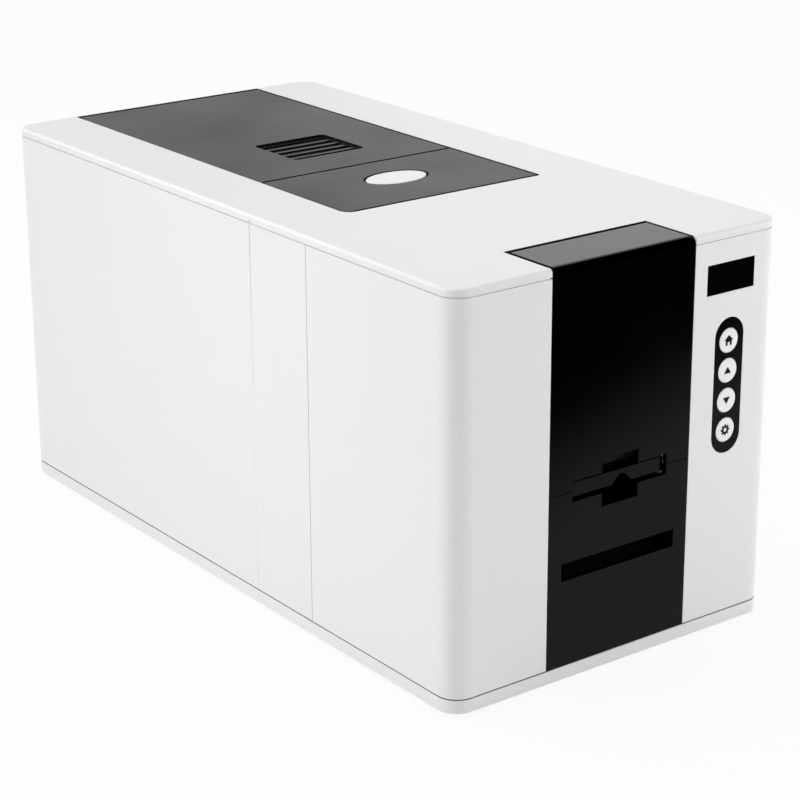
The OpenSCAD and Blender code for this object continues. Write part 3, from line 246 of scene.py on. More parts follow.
# %% Flag card
FLAG_NEAR, FLAG_FAR = 0.29, 0.0
FLAG_DARK, FLAG_PALE = 0.21, 0.12
FLAG_HALF, FLAG_REACH, FLAG_UP = 4.5, 5.4, 0.0005
FLAG_LEAN = 0.37

front_y = cad_box[0].y
near, far = front_y, front_y - FLAG_REACH
card = bpy.data.meshes.new("flag")
corners = [(-FLAG_HALF, far), (FLAG_HALF, far), (FLAG_HALF, near), (-FLAG_HALF, near)]
card.from_pydata([(x, y, FLAG_UP) for x, y in corners], [], [(0, 1, 2, 3)])
flag = bpy.data.objects.new("flag", card)
bpy.context.scene.collection.objects.link(flag)
for ray in ("camera", "diffuse", "shadow", "transmission"):
    setattr(flag, "visible_" + ray, False)
flag_paint = bpy.data.materials.new("flag_paint")
flag_paint.use_nodes = True
tree = flag_paint.node_tree
tree.nodes.remove(tree.nodes["Principled BSDF"])
place = add_node(tree, "TexCoord")
split = add_node(tree, "SeparateXYZ")
wire(tree, place.outputs["Object"], split.inputs["Vector"])
lean = math_node(tree, "MULTIPLY", split.outputs["X"], FLAG_LEAN)
along = math_node(tree, "ADD", split.outputs["Y"], lean)
fall = ranged(tree, along, front_y - FLAG_DARK, front_y - FLAG_PALE, FLAG_FAR, FLAG_NEAR)
glow = add_node(tree, "Emission")
wire(tree, fall, glow.inputs["Strength"])
wire(tree, glow.outputs["Emission"], tree.nodes["Material Output"].inputs["Surface"])
flag.data.materials.append(flag_paint)
print("flag", 2 * FLAG_HALF, "by", FLAG_REACH, "m")

# %% [markdown]
# ## Finishes
# Every finish starts from the Principled shader with its plain numbers on the shader's own sockets.
# Fine detail comes from noise in object space: one layer drifts the roughness, as handling and
# moulding do, and one raises the surface, by a few thousandths of a millimetre on gloss and by a few
# hundredths on rubber.

# %% Finish helpers
EVEN = (1, 1, 1)
NOISE_LOW, NOISE_HIGH = 0.3, 0.7
finishes = {}


def finish(slot, colour, roughness, metal=0.0, ior=1.5, coat=0.0):
    """A material for one slot of the record, with its plain values."""
    material = bpy.data.materials.new(slot)
    material.use_nodes = True
    plain = {"Base Color": (*colour, 1), "Roughness": roughness, "Metallic": metal, "IOR": ior,
             "Coat Weight": coat}
    for name, value in plain.items():
        shader_of(material).inputs[name].default_value = value
    finishes[slot] = material
    return material


def shader_of(material):
    """The Principled shader of a material."""
    return material.node_tree.nodes["Principled BSDF"]


def noise(material, scale, detail, stretch):
    """Noise in object space, in cycles per metre, drawn out along an axis by a small stretch."""
    tree = material.node_tree
    place = add_node(tree, "TexCoord")
    mapping = add_node(tree, "Mapping")
    mapping.inputs["Scale"].default_value = stretch
    texture = add_node(tree, "TexNoise")
    texture.inputs["Scale"].default_value = scale
    texture.inputs["Detail"].default_value = detail
    wire(tree, place.outputs["Object"], mapping.inputs["Vector"])
    wire(tree, mapping.outputs["Vector"], texture.inputs["Vector"])
    return texture.outputs["Fac"]


def cells(material, scale, output):
    """Voronoi cells in object space, in cells per metre."""
    tree = material.node_tree
    place = add_node(tree, "TexCoord")
    texture = add_node(tree, "TexVoronoi")
    texture.inputs["Scale"].default_value = scale
    wire(tree, place.outputs["Object"], texture.inputs["Vector"])
    return texture.outputs[output]


# %% Drift
def drift_roughness(material, low, high, scale, stretch=EVEN):
    """Roughness wanders between low and high."""
    tree = material.node_tree
    spread = ranged(tree, noise(material, scale, 4.0, stretch), NOISE_LOW, NOISE_HIGH, low, high)
    wire(tree, spread, shader_of(material).inputs["Roughness"])


def colour_ramp(material, source, dark, light, start, end):
    """Base colour runs from dark to light while the source goes from start to end."""
    tree = material.node_tree
    ramp = add_node(tree, "ValToRGB")
    for element, position, colour in zip(ramp.color_ramp.elements, (start, end), (dark, light)):
        element.position = position
        element.color = (*colour, 1)
    wire(tree, source, ramp.inputs["Fac"])
    wire(tree, ramp.outputs["Color"], shader_of(material).inputs["Base Color"])


def drift_colour(material, dark, light, scale, stretch=EVEN):
    """Base colour wanders between two near tones."""
    colour_ramp(material, noise(material, scale, 3.0, stretch), dark, light, NOISE_LOW, NOISE_HIGH)


def spangle(material, dark, light, scale):
    """Zinc crystals: each cell takes a tone between dark and light."""
    colour_ramp(material, cells(material, scale, "Color"), dark, light, 0, 1)


# %% Relief
def bump_from(material, source, height, strength):
    """The source raises the surface by up to height, in metres."""
    tree = material.node_tree
    bump = add_node(tree, "Bump")
    bump.inputs["Strength"].default_value = strength
    bump.inputs["Distance"].default_value = height
    wire(tree, source, bump.inputs["Height"])
    wire(tree, bump.outputs["Normal"], shader_of(material).inputs["Normal"])


def raise_grain(material, scale, height, strength=0.5, stretch=EVEN):
    """Small bumps from noise."""
    bump_from(material, noise(material, scale, 2.0, stretch), height, strength)


def spark_texture(material, scale, height, strength=0.4):
    """The fine pits that a spark-eroded mould leaves on plastic."""
    bump_from(material, cells(material, scale, "Distance"), height, strength)


# %% [markdown]
# ## The casing
# The casing is white moulded plastic with a satin skin. Its tone drifts by less than a hundredth over
# a hand's breadth, and its grain is only a few thousandths of a millimetre high, so it shows in the
# gloss and not as dirt. The keys are the same plastic from another mould, a little brighter.

# %% White shell
shell_white = finish("white_shell", (0.80, 0.81, 0.815), 0.3)
drift_colour(shell_white, (0.797, 0.806, 0.811), (0.805, 0.814, 0.819), 5)
drift_roughness(shell_white, 0.28, 0.34, 30)
raise_grain(shell_white, 1500, 0.000003, 0.15)

# %% Key white
key_white = finish("key_white", (0.86, 0.865, 0.865), 0.36)
drift_colour(key_white, (0.855, 0.86, 0.86), (0.868, 0.872, 0.872), 40)
drift_roughness(key_white, 0.32, 0.42, 120)
raise_grain(key_white, 2500, 0.000004, 0.2)
print("whites:", list(finishes))

# %% [markdown]
# ## The black and dark parts
# The front strip, its hinged cover and the keypad bezel are polished black, the top plates are a
# satin charcoal, and the display sits behind a clear, nearly mirror-smooth window.

# %% Gloss black
gloss_black = finish("gloss_black", (0.0006, 0.0006, 0.0007), 0.1, ior=1.45)
drift_roughness(gloss_black, 0.09, 0.15, 25)
raise_grain(gloss_black, 900, 0.000002, 0.15)

# %% Dark plate
dark_plate = finish("dark_plate", (0.007, 0.007, 0.0074), 0.3, ior=1.31)
drift_roughness(dark_plate, 0.26, 0.36, 14)
raise_grain(dark_plate, 1500, 0.000006, 0.2)

# %% Display glass
screen = finish("screen", (0.0012, 0.0012, 0.0014), 0.06, ior=1.45)
drift_roughness(screen, 0.05, 0.08, 60)
drift_colour(screen, (0.0010, 0.0010, 0.0012), (0.0015, 0.0015, 0.0018), 90)
print("dark finishes:", list(finishes)[2:])

# %% [markdown]
# ## Plastics inside
# The hopper, the chute and the guides are black plastic from a spark-eroded mould, which is dull and
# finely pitted. Gears are a creamy, waxy plastic, and spools and latches have their own colours.

# %% Inner plastics
inner_plastic = finish("inner_plastic", (0.0045, 0.0046, 0.005), 0.55, ior=1.4)
drift_colour(inner_plastic, (0.004, 0.0041, 0.0045), (0.0055, 0.0056, 0.006), 40)
drift_roughness(inner_plastic, 0.5, 0.62, 80)
spark_texture(inner_plastic, 1800, 0.00003)
connector_black = finish("connector_black", (0.004, 0.004, 0.0043), 0.42)
drift_colour(connector_black, (0.0035, 0.0035, 0.0038), (0.005, 0.005, 0.0053), 90)
drift_roughness(connector_black, 0.36, 0.5, 150)
spark_texture(connector_black, 2500, 0.00002, 0.3)
blue_plastic = finish("blue_plastic", (0.012, 0.045, 0.1), 0.4)
drift_colour(blue_plastic, (0.011, 0.042, 0.094), (0.013, 0.05, 0.108), 60)
drift_roughness(blue_plastic, 0.34, 0.46, 120)

# %% Gear and spool plastics
gear_plastic = finish("gear_plastic", (0.70, 0.68, 0.60), 0.42)
drift_colour(gear_plastic, (0.68, 0.66, 0.575), (0.72, 0.70, 0.62), 50)
drift_roughness(gear_plastic, 0.36, 0.5, 200)
raise_grain(gear_plastic, 900, 0.00002, 0.2)
spool_plastic = finish("spool_plastic", (0.52, 0.53, 0.55), 0.45)
drift_colour(spool_plastic, (0.5, 0.51, 0.53), (0.54, 0.55, 0.57), 60)
drift_roughness(spool_plastic, 0.4, 0.52, 160)
spark_texture(spool_plastic, 2200, 0.00002, 0.25)

# %% [markdown]
# ## Rubber and film
# The feet and the belt are dull black rubber. The rollers that grip the cards are ground to size,
# which leaves fine circles round them. The ribbon is a thin dark film with a slight sheen.

# %% Rubbers
rubber = finish("rubber", (0.012, 0.012, 0.012), 0.75)
drift_colour(rubber, (0.009, 0.009, 0.009), (0.017, 0.017, 0.0165), 150)
drift_roughness(rubber, 0.68, 0.85, 90)
raise_grain(rubber, 1200, 0.00004, 0.4)
belt_rubber = finish("belt_rubber", (0.008, 0.008, 0.008), 0.7)
drift_colour(belt_rubber, (0.006, 0.006, 0.006), (0.014, 0.014, 0.013), 400, (6, 1, 1))
drift_roughness(belt_rubber, 0.6, 0.8, 300)
raise_grain(belt_rubber, 2500, 0.00003, 0.4, (8, 1, 1))
roller_rubber = finish("roller_rubber", (0.045, 0.046, 0.05), 0.65)
drift_colour(roller_rubber, (0.04, 0.041, 0.045), (0.055, 0.056, 0.06), 300, (4, 1, 1))
drift_roughness(roller_rubber, 0.58, 0.72, 120)
raise_grain(roller_rubber, 1800, 0.00003, 0.4, (6, 1, 1))
ribbon_film = finish("ribbon_film", (0.006, 0.008, 0.03), 0.25, coat=0.3)
drift_colour(ribbon_film, (0.005, 0.007, 0.026), (0.009, 0.011, 0.04), 30)
drift_roughness(ribbon_film, 0.18, 0.34, 200)

# %% [markdown]
# ## Metals
# Frame plates and shafts are ground steel, drawn along one direction. The sheets of the supply are
# zinc-plated, with faint crystals. Screws are blackened, and the bushings are porous bronze.

# %% Steels
steel = finish("steel", (0.42, 0.43, 0.45), 0.33, metal=1.0)
drift_colour(steel, (0.38, 0.39, 0.41), (0.46, 0.47, 0.49), 40, (1, 1, 12))
drift_roughness(steel, 0.26, 0.42, 300, (1, 1, 14))
raise_grain(steel, 700, 0.000008, 0.3, (1, 1, 16))
motor_metal = finish("motor_metal", (0.2, 0.21, 0.225), 0.4, metal=1.0)
drift_colour(motor_metal, (0.18, 0.19, 0.205), (0.23, 0.24, 0.255), 90)
drift_roughness(motor_metal, 0.32, 0.48, 160, (8, 1, 1))
raise_grain(motor_metal, 900, 0.00001, 0.3, (10, 1, 1))
zinc_sheet = finish("zinc_sheet", (0.45, 0.46, 0.48), 0.38, metal=1.0)
spangle(zinc_sheet, (0.40, 0.41, 0.43), (0.50, 0.51, 0.53), 170)
drift_roughness(zinc_sheet, 0.3, 0.46, 120)

# %% Small metal parts
screw_steel = finish("screw_steel", (0.02, 0.02, 0.022), 0.32, metal=1.0)
drift_colour(screw_steel, (0.016, 0.016, 0.018), (0.03, 0.03, 0.032), 500)
drift_roughness(screw_steel, 0.25, 0.42, 700)
weight_metal = finish("weight_metal", (0.09, 0.095, 0.105), 0.5)
drift_colour(weight_metal, (0.08, 0.085, 0.095), (0.105, 0.11, 0.12), 70)
drift_roughness(weight_metal, 0.42, 0.6, 140)
spark_texture(weight_metal, 1300, 0.00004, 0.5)
aluminium = finish("aluminium", (0.62, 0.63, 0.64), 0.34, metal=1.0)
drift_colour(aluminium, (0.58, 0.59, 0.6), (0.66, 0.67, 0.68), 60, (12, 1, 1))
drift_roughness(aluminium, 0.28, 0.42, 240, (14, 1, 1))
raise_grain(aluminium, 800, 0.000008, 0.3, (1, 12, 12))
bronze = finish("bronze", (0.45, 0.24, 0.07), 0.42, metal=1.0)
drift_colour(bronze, (0.38, 0.2, 0.055), (0.5, 0.28, 0.09), 500)
drift_roughness(bronze, 0.36, 0.55, 600)
spark_texture(bronze, 3500, 0.00003, 0.5)

# %% [markdown]
# ## Circuit boards
# A board is green lacquer over copper. The lacquer shows its tracks as slightly paler lines, so the
# finish lays a brick pattern of fine lines under a clear coat.

# %% Circuit board
circuit_board = finish("circuit_board", (0.004, 0.045, 0.018), 0.35, coat=0.5)
tree = circuit_board.node_tree
board_place = add_node(tree, "TexCoord")
tracks = add_node(tree, "TexBrick", offset=0.35, squash=1.0)
tracks.inputs["Color1"].default_value = (0.004, 0.045, 0.018, 1)
tracks.inputs["Color2"].default_value = (0.005, 0.052, 0.021, 1)
tracks.inputs["Mortar"].default_value = (0.012, 0.09, 0.035, 1)
tracks.inputs["Scale"].default_value = 160
tracks.inputs["Mortar Size"].default_value = 0.06
wire(tree, board_place.outputs["Object"], tracks.inputs["Vector"])
wire(tree, tracks.outputs["Color"], shader_of(circuit_board).inputs["Base Color"])
drift_roughness(circuit_board, 0.3, 0.42, 150)
print(len(finishes), "finishes")
missing = {s["slot"] for s in frame["record"]["materials"]} - set(finishes)
print("slots without a finish:", missing)

# %% Paint the frame
for name, node in frame["nodes"].items():
    for place in node.material_slots:
        wanted = place.material.name.split(".")[0]
        place.material = finishes.get(wanted, place.material)
print({s.material.name for n in frame["nodes"].values() for s in n.material_slots})

# %% [markdown]
# ## Making a surface from arrays
# Each new piece below is a grid of points worked out with numpy. One function joins the neighbours of
# a grid into faces, and another welds the seam and the poles, turns every face outwards and puts the
# piece on the body that carries it. A grid is closed by poles, by flat caps, or as a ring.

# %% Grids
CREASE = math.radians(35)


def grid_faces(rows, columns, rows_close=False):
    """Quads between neighbouring points of a grid. Its last column always joins the first one, and the
    last row joins the first one on request."""
    i, j = np.meshgrid(np.arange(rows if rows_close else rows - 1), np.arange(columns), indexing="ij")
    down, right = (i + 1) % rows, (j + 1) % columns
    corners = (i * columns + j, i * columns + right, down * columns + right, down * columns + j)
    return np.stack(corners, -1).reshape(-1, 4).tolist()


def weld(mesh):
    """Merges doubles, drops what collapsed, and turns every face outwards."""
    work = bmesh.new()
    work.from_mesh(mesh)
    bmesh.ops.remove_doubles(work, verts=work.verts, dist=1e-6)
    bmesh.ops.recalc_face_normals(work, faces=work.faces)
    work.to_mesh(mesh)
    work.free()


def make_piece(name, points, faces, slot, body):
    """A closed piece in the world's millimetres, with its finish, riding on its body."""
    mesh = bpy.data.meshes.new(name)
    mesh.from_pydata((np.asarray(points, float).reshape(-1, 3) * MM).tolist(), [], faces)
    weld(mesh)
    mesh.polygons.foreach_set("use_smooth", [True] * len(mesh.polygons))
    mesh.set_sharp_from_angle(angle=CREASE)
    mesh.materials.append(finishes[slot])
    piece = bpy.data.objects.new(name, mesh)
    bpy.context.scene.collection.objects.link(piece)
    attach(piece, body)
    return piece


def join_grids(grids):
    """Points and faces of several closed grids as one; a grid is (points, rows_close)."""
    points, faces, start = [], [], 0
    for grid, rows_close in grids:
        rows, columns = grid.shape[:2]
        points.append(grid.reshape(-1, 3))
        faces += (np.array(grid_faces(rows, columns, rows_close)) + start).tolist()
        if not rows_close:
            faces.append(list(range(start, start + columns)))
            faces.append(list(range(start + (rows - 1) * columns, start + rows * columns)))
        start += rows * columns
    return np.concatenate(points), faces


def make_turned(name, grid, slot, body):
    """A piece from one grid whose first and last rows lie on its axis."""
    return make_piece(name, grid, grid_faces(*grid.shape[:2]), slot, body)


def make_ring(name, grid, slot, body):
    """A piece from one grid that closes both ways."""
    return make_piece(name, grid, grid_faces(*grid.shape[:2], rows_close=True), slot, body)


def make_capped(name, grids, slot, body):
    """A piece from grids whose first and last rows are closed by a face each."""
    points, faces = join_grids([(grid, False) for grid in grids])
    return make_piece(name, points, faces, slot, body)


# %% Curves
AXES = {"X": np.eye(3)[[1, 2, 0]], "Y": np.eye(3)[[2, 0, 1]], "Z": np.eye(3)}


def rounded(points, radius, steps=5):
    """An outline with each corner eased: from radius before a corner to radius after it the line
    follows the parabola (1-t)^2 before + 2t(1-t) corner + t^2 after."""
    points = np.asarray(points, float)
    before, after = np.roll(points, 1, 0) - points, np.roll(points, -1, 0) - points
    radius = np.broadcast_to(radius, len(points))[:, None]
    start = points + before / np.linalg.norm(before, axis=1, keepdims=True) * radius
    end = points + after / np.linalg.norm(after, axis=1, keepdims=True) * radius
    t = np.linspace(0, 1, steps)[None, :, None]
    bend = (1 - t) ** 2 * start[:, None] + 2 * t * (1 - t) * points[:, None] + t ** 2 * end[:, None]
    return bend.reshape(-1, 2)


def lathe(profile, centre, axis="Z", steps=72):
    """A turned shape: each (radius, height) of the profile goes round the axis at
    centre + height * axis + radius * (cos a * u + sin a * v)."""
    profile = np.asarray(profile, float)
    u, v, along = AXES[axis]
    angle = np.linspace(0, 2 * np.pi, steps, endpoint=False)[None, :, None]
    radius, height = profile[:, 0, None, None], profile[:, 1, None, None]
    return np.asarray(centre) + height * along + radius * (np.cos(angle) * u + np.sin(angle) * v)


def carried(path, section, closed=True):
    """A section of (outward, up) pairs carried along a flat path: path + outward * normal, at height up.
    The normal is the path's direction turned by a quarter."""
    path, section = np.asarray(path, float), np.asarray(section, float)
    if closed:
        ahead = np.roll(path, -1, 0) - np.roll(path, 1, 0)
    else:
        ahead = np.gradient(path, axis=0)
    ahead /= np.linalg.norm(ahead, axis=1, keepdims=True)
    normal = np.stack([ahead[:, 1], -ahead[:, 0]], 1)
    flat = path[:, None] + normal[:, None] * section[None, :, :1]
    up = np.broadcast_to(section[None, :, 1:], flat.shape[:2] + (1,))
    return np.concatenate([flat, up], 2)


def round_path(half_x, half_y, middle, radius, steps=9):
    """A rectangle with quarter-circle corners, anticlockwise from the right front corner."""
    angle = np.linspace(0, np.pi / 2, steps)[None] + np.array([-np.pi / 2, 0, np.pi / 2, np.pi])[:, None]
    side = np.array([[1, -1], [1, 1], [-1, 1], [-1, -1]])[:, None]
    arc = np.stack([np.cos(angle), np.sin(angle)], -1) * radius
    return (np.asarray(middle) + side * (np.array([half_x, half_y]) - radius) + arc).reshape(-1, 2)


# %% [markdown]
# ## Keys
# A key is a turned cap with a soft rim and a flange behind the bezel that keeps it in. The cap is one
# profile swept round the key's axis. Its mark is a thin inlay of its own, so that it moves with the key.

# %% Key caps
KEY_MIDDLE = 67.85
KEY_FACE, KEY_BACK = -199.88, -194.0
KEY_R, KEY_RIM, KEY_STEPS = 6.25, 0.55, 64
FLANGE_R, FLANGE_BACK, FLANGE_FRONT = 6.85, -197.3, -198.3
KEY_HEIGHTS = {"home_key": 151.075, "up_key": 135.825, "down_key": 120.575, "setup_key": 105.325}


def key_profile():
    """From the middle of the back, past the flange, over the round rim to the middle of the face."""
    turn = np.linspace(0, np.pi / 2, 7)
    rim = np.stack([KEY_R - KEY_RIM + KEY_RIM * np.cos(turn), KEY_FACE + KEY_RIM - KEY_RIM * np.sin(turn)], 1)
    back = [(0, KEY_BACK), (KEY_R, KEY_BACK), (KEY_R, FLANGE_BACK), (FLANGE_R, FLANGE_BACK),
            (FLANGE_R, FLANGE_FRONT), (KEY_R, FLANGE_FRONT)]
    return np.concatenate([back, rim, [(0, KEY_FACE)]])


for node, height in KEY_HEIGHTS.items():
    grid = lathe(key_profile(), (KEY_MIDDLE, 0, height), "Y", KEY_STEPS)
    cap = make_turned(node.replace("key", "cap"), grid, "key_white", node)
    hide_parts(node)
print("key caps:", list(KEY_HEIGHTS))

# %% Marks on the keys
MARK_FRONT, MARK_BACK = -199.97, -199.6


def inlay(name, outline, height, body):
    """An outline in (right, up) on the key's face, made solid between MARK_BACK and MARK_FRONT."""
    outline = np.asarray(outline, float)
    ring = np.stack([KEY_MIDDLE + outline[:, 0], np.zeros(len(outline)), height + outline[:, 1]], 1)
    grid = np.stack([ring + (0, y, 0) for y in (MARK_FRONT, MARK_BACK)])
    return make_capped(name, [grid], "connector_black", body)


house = [(-1.95, -2.5), (-0.75, -2.5), (-0.75, -0.7), (0.75, -0.7), (0.75, -2.5), (1.95, -2.5),
         (1.95, 0.1), (2.9, 0.1), (0, 2.75), (-2.9, 0.1), (-1.95, 0.1)]
arrow = np.array([(-2.3, -1.5), (2.3, -1.5), (0, 1.9)])
upside_down = (1, -1)
inlay("home_mark", rounded(house, 0.2), KEY_HEIGHTS["home_key"], "home_key")
inlay("up_mark", rounded(arrow, 0.25), KEY_HEIGHTS["up_key"], "up_key")
inlay("down_mark", rounded(arrow * upside_down, 0.25), KEY_HEIGHTS["down_key"], "down_key")

# %% Gear mark
GEAR_TEETH, GEAR_IN, GEAR_OUT, GEAR_HOLE, GEAR_FLANK = 8, 2.15, 2.85, 1.05, 2.2


def gear_ring(radius_of):
    """Points round the circle at a radius that depends on the angle."""
    angle = np.linspace(0, 2 * np.pi, 16 * GEAR_TEETH, endpoint=False)
    radius = radius_of(angle)
    return np.stack([KEY_MIDDLE + radius * np.sin(angle), np.zeros_like(angle),
                     KEY_HEIGHTS["setup_key"] + radius * np.cos(angle)], 1)


def tooth_radius(angle):
    """The radius rises from GEAR_IN to GEAR_OUT where cos(teeth * angle) is positive, with a short flank
    on each side: the clipped value 0.5 + GEAR_FLANK * cos(teeth * angle) goes from 0 to 1."""
    rise = np.clip(0.5 + GEAR_FLANK * np.cos(GEAR_TEETH * angle), 0, 1)
    return GEAR_IN + (GEAR_OUT - GEAR_IN) * rise


outer, inner = gear_ring(tooth_radius), gear_ring(lambda angle: np.full_like(angle, GEAR_HOLE))
grid = np.stack([outer + (0, MARK_BACK, 0), outer + (0, MARK_FRONT, 0),
                 inner + (0, MARK_FRONT, 0), inner + (0, MARK_BACK, 0)])
make_ring("setup_mark", grid, "connector_black", "setup_key")
print("marks on the keys: house, two arrows, gear")

# %% [markdown]
# ## Release button
# The button in the top is oval, a shallow disc with a softly rounded rim. It stands in a sunk ring,
# and the ring is lined with black rubber, so that it shows black.

# %% Button and ring
BUTTON_Y, BUTTON_A, BUTTON_B = -24.2, 17.6, 10.85
BUTTON_TOP, BUTTON_RIM, BUTTON_DISH = 207.0, 0.5, 0.12
BUTTON_LOW, BUTTON_INNER, BUTTON_WALL = 200, 205, 2
POST_R = 4
RING_IN, RING_OUT, RING_SKIN = 0.43, 1.37, 0.2
RING_LOW, RING_TOP = 204.82, 206.85


def oval(profile, steps=112):
    """Ovals stacked up: each (half width a, half length b, height) gives the points
    (a cos t, BUTTON_Y + b sin t, height)."""
    a, b, height = np.asarray(profile, float).T[:, :, None]
    t = np.linspace(0, 2 * np.pi, steps, endpoint=False)[None]
    return np.stack([a * np.cos(t), BUTTON_Y + b * np.sin(t), height + 0 * t], -1)


def grown(extra, height):
    """A ring of the button's outline, moved outwards by extra."""
    return (BUTTON_A + extra, BUTTON_B + extra, height)


rim = [grown(BUTTON_RIM * (math.cos(t) - 1), BUTTON_TOP - BUTTON_RIM * (1 - math.sin(t)))
       for t in np.linspace(0, math.pi / 2, 7)]
dish = [((BUTTON_A - BUTTON_RIM) * f, (BUTTON_B - BUTTON_RIM) * f, BUTTON_TOP - BUTTON_DISH * (1 - f ** 2))
        for f in np.linspace(0.85, 0, 7)]
post = [(0, 0, BUTTON_LOW), (POST_R, POST_R, BUTTON_LOW), (POST_R, POST_R, BUTTON_INNER)]
wall = [grown(-BUTTON_WALL, BUTTON_INNER), grown(-BUTTON_WALL, BUTTON_LOW), grown(0, BUTTON_LOW)]
button = make_turned("button_disc", oval(post + wall + rim + dish), "key_white", "release_button")
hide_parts("release_button")
lining = [(RING_IN, RING_LOW), (RING_OUT, RING_LOW), (RING_OUT, RING_TOP), (RING_OUT - RING_SKIN, RING_TOP),
          (RING_OUT - RING_SKIN, RING_LOW + RING_SKIN), (RING_IN, RING_LOW + RING_SKIN)]
make_ring("ring_lining", oval([grown(*point) for point in lining]), "rubber", "housing")
print("button", 2 * BUTTON_A, "by", 2 * BUTTON_B, "mm")

# %% [markdown]
# ## Seam linings: painted shade
# Two dark plates close the top, with a gap of little more than a millimetre round them. The wall of
# the gap is lined with black rubber, and a black bead stands between the plates; both are painted
# shade, so that the seams read as clean dark lines. The same painted-shade lining runs round the
# return of the hopper cover. The air slots have collars of dull black plastic, painted shade on the
# faces seen through the slots. A black strip stands in the groove above the base as painted shade,
# and a pale strip stands in the groove under the top cover.

# %% Lining round the plates
# The black rubber lining in the gap round the plates is painted shade: it darkens the seam.
TOP_EDGE, PLATE_FLOOR = 206.85, 203.97
SKIN_IN, SKIN_OUT = -0.27, -0.02
OPEN_HALF, OPEN_FRONT, OPEN_REAR = 61.6, -66.5, 198.2
OPEN_R = np.array([2.8, 0.4, 0.4, 6.2])[:, None, None]
SILL_IN, SILL_TOP = -1.0, 204.5
half, middle = (OPEN_REAR - OPEN_FRONT) / 2, (OPEN_REAR + OPEN_FRONT) / 2
angle_bar = [(SILL_IN, PLATE_FLOOR), (SKIN_OUT, PLATE_FLOOR), (SKIN_OUT, TOP_EDGE), (SKIN_IN, TOP_EDGE),
             (SKIN_IN, SILL_TOP), (SILL_IN, SILL_TOP)]
make_ring("plate_shade_lining", carried(round_path(OPEN_HALF, half, (0, middle), OPEN_R), angle_bar),
          "rubber", "housing")

# %% Strip between the plates
# The black bead between the plates is painted shade: it darkens the seam between them.
SEAM_Y, SEAM_REACH = 8.2, 61.3
bead = [(-0.4, 203.9), (0.4, 203.9), (0.4, 206.0), (0.15, 206.2), (-0.15, 206.2), (-0.4, 206.0)]
line = [(x, SEAM_Y) for x in (-SEAM_REACH, 0, SEAM_REACH)]
make_capped("seam_shade_strip", [carried(line, bead, closed=False)], "rubber", "housing")

# %% Lining round the return
# The black lining round the return is painted shade: it draws a dark line round the return.
NOTCH_HALF, NOTCH_FRONT, NOTCH_REAR, NOTCH_CORNER = 43.98, -197.8, -164.62, 0.4
NOTCH_SKIN, NOTCH_LOW = 0.26, 205.9
path = [(NOTCH_HALF, NOTCH_FRONT), (NOTCH_HALF, NOTCH_REAR - NOTCH_CORNER)]
path += [(NOTCH_HALF - NOTCH_CORNER, NOTCH_REAR)]
path += [(-x, y) for x, y in path[::-1]]
band = [(-NOTCH_SKIN, NOTCH_LOW), (0, NOTCH_LOW), (0, TOP_EDGE), (-NOTCH_SKIN, TOP_EDGE)]
make_capped("return_shade_lining", [carried(path, band, closed=False)], "rubber", "housing")

# %% Edging of the return
# The black edging along the return's grooves is painted shade: it darkens those grooves.
GROOVE_X, GROOVE_Z, EDGE_HALF, EDGE_FLAT = 42.68, 206.1, 0.84, 0.6
low, shoulder, top = GROOVE_Z - 0.02, GROOVE_Z + 0.1, GROOVE_Z + 0.2
flat_bead = [(-EDGE_HALF, low), (EDGE_HALF, low), (EDGE_HALF, shoulder), (EDGE_FLAT, top), (-EDGE_FLAT, top),
             (-EDGE_HALF, shoulder)]
edges = [carried([(x, y) for y in (-197.9, -182, -166.0)], flat_bead, closed=False)
         for x in (-GROOVE_X, GROOVE_X)]
make_capped("return_shade_edging", edges, "rubber", "hopper_cover")

# %% Lining of the air slots
# The black collars in the air slots are painted shade: they darken the rib faces seen through the slots.
SLOT_PLACE, SLOT_PITCH, SLOTS = np.array([1.95, 56.9]), 7.6, 5
SLOT_HALF_L, SLOT_HALF_W, SLOT_R = 22.05, 2.15, 0.86
SLOT_LOW, SLOT_FLOOR, SLOT_LIP, SLOT_BRIM = 204.1, 205.64, 205.78, 0.15
band = [(SKIN_IN, SLOT_LOW), (SKIN_OUT, SLOT_LOW), (SKIN_OUT, SLOT_FLOOR), (SLOT_BRIM, SLOT_FLOOR),
        (SLOT_BRIM, SLOT_LIP), (SKIN_IN, SLOT_LIP)]
middles = [SLOT_PLACE + (0, i * SLOT_PITCH) for i in np.arange(SLOTS) - (SLOTS - 1) / 2]
loops = [carried(round_path(SLOT_HALF_L, SLOT_HALF_W, m, SLOT_R), band) for m in middles]
points, faces = join_grids([(loop, True) for loop in loops])
make_piece("slot_shade_linings", points, faces, "inner_plastic", "lid")
print("linings round the plates, the return and", len(loops), "air slots")

# %% Strips in the grooves
CASE_HALF_W, CASE_HALF_L, CASE_R = 100, 200, 11.0
BASE_IN, BASE_LOW, BASE_HIGH, BASE_THICK = 0.5, 8.12, 8.78, 1.0
FILL_IN, FILL_LOW, FILL_HIGH, FILL_THICK, FILL_END = 0.75, 202.43, 203.07, 0.82, 44.6


def round_case(inset):
    """The casing's outline, moved inwards."""
    return round_path(CASE_HALF_W - inset, CASE_HALF_L - inset, (0, 0), CASE_R - inset)


def bar_section(low, high, thick):
    """A rectangle that reaches inwards from the path."""
    return [(0, low), (0, high), (-thick, high), (-thick, low)]


# The black strip in the groove above the base is painted shade: it darkens the seam line.
grid = carried(round_case(BASE_IN), bar_section(BASE_LOW, BASE_HIGH, BASE_THICK))
make_ring("base_shade_strip", grid, "rubber", "housing")
ends = [(x, FILL_IN - CASE_HALF_L) for x in (FILL_END, -FILL_END)]
path = np.concatenate([ends[:1], round_case(FILL_IN), ends[1:]])
grid = carried(path, bar_section(FILL_LOW, FILL_HIGH, FILL_THICK), closed=False)
make_capped("upper_filler", [grid], "key_white", "housing")
print("strips in both grooves")

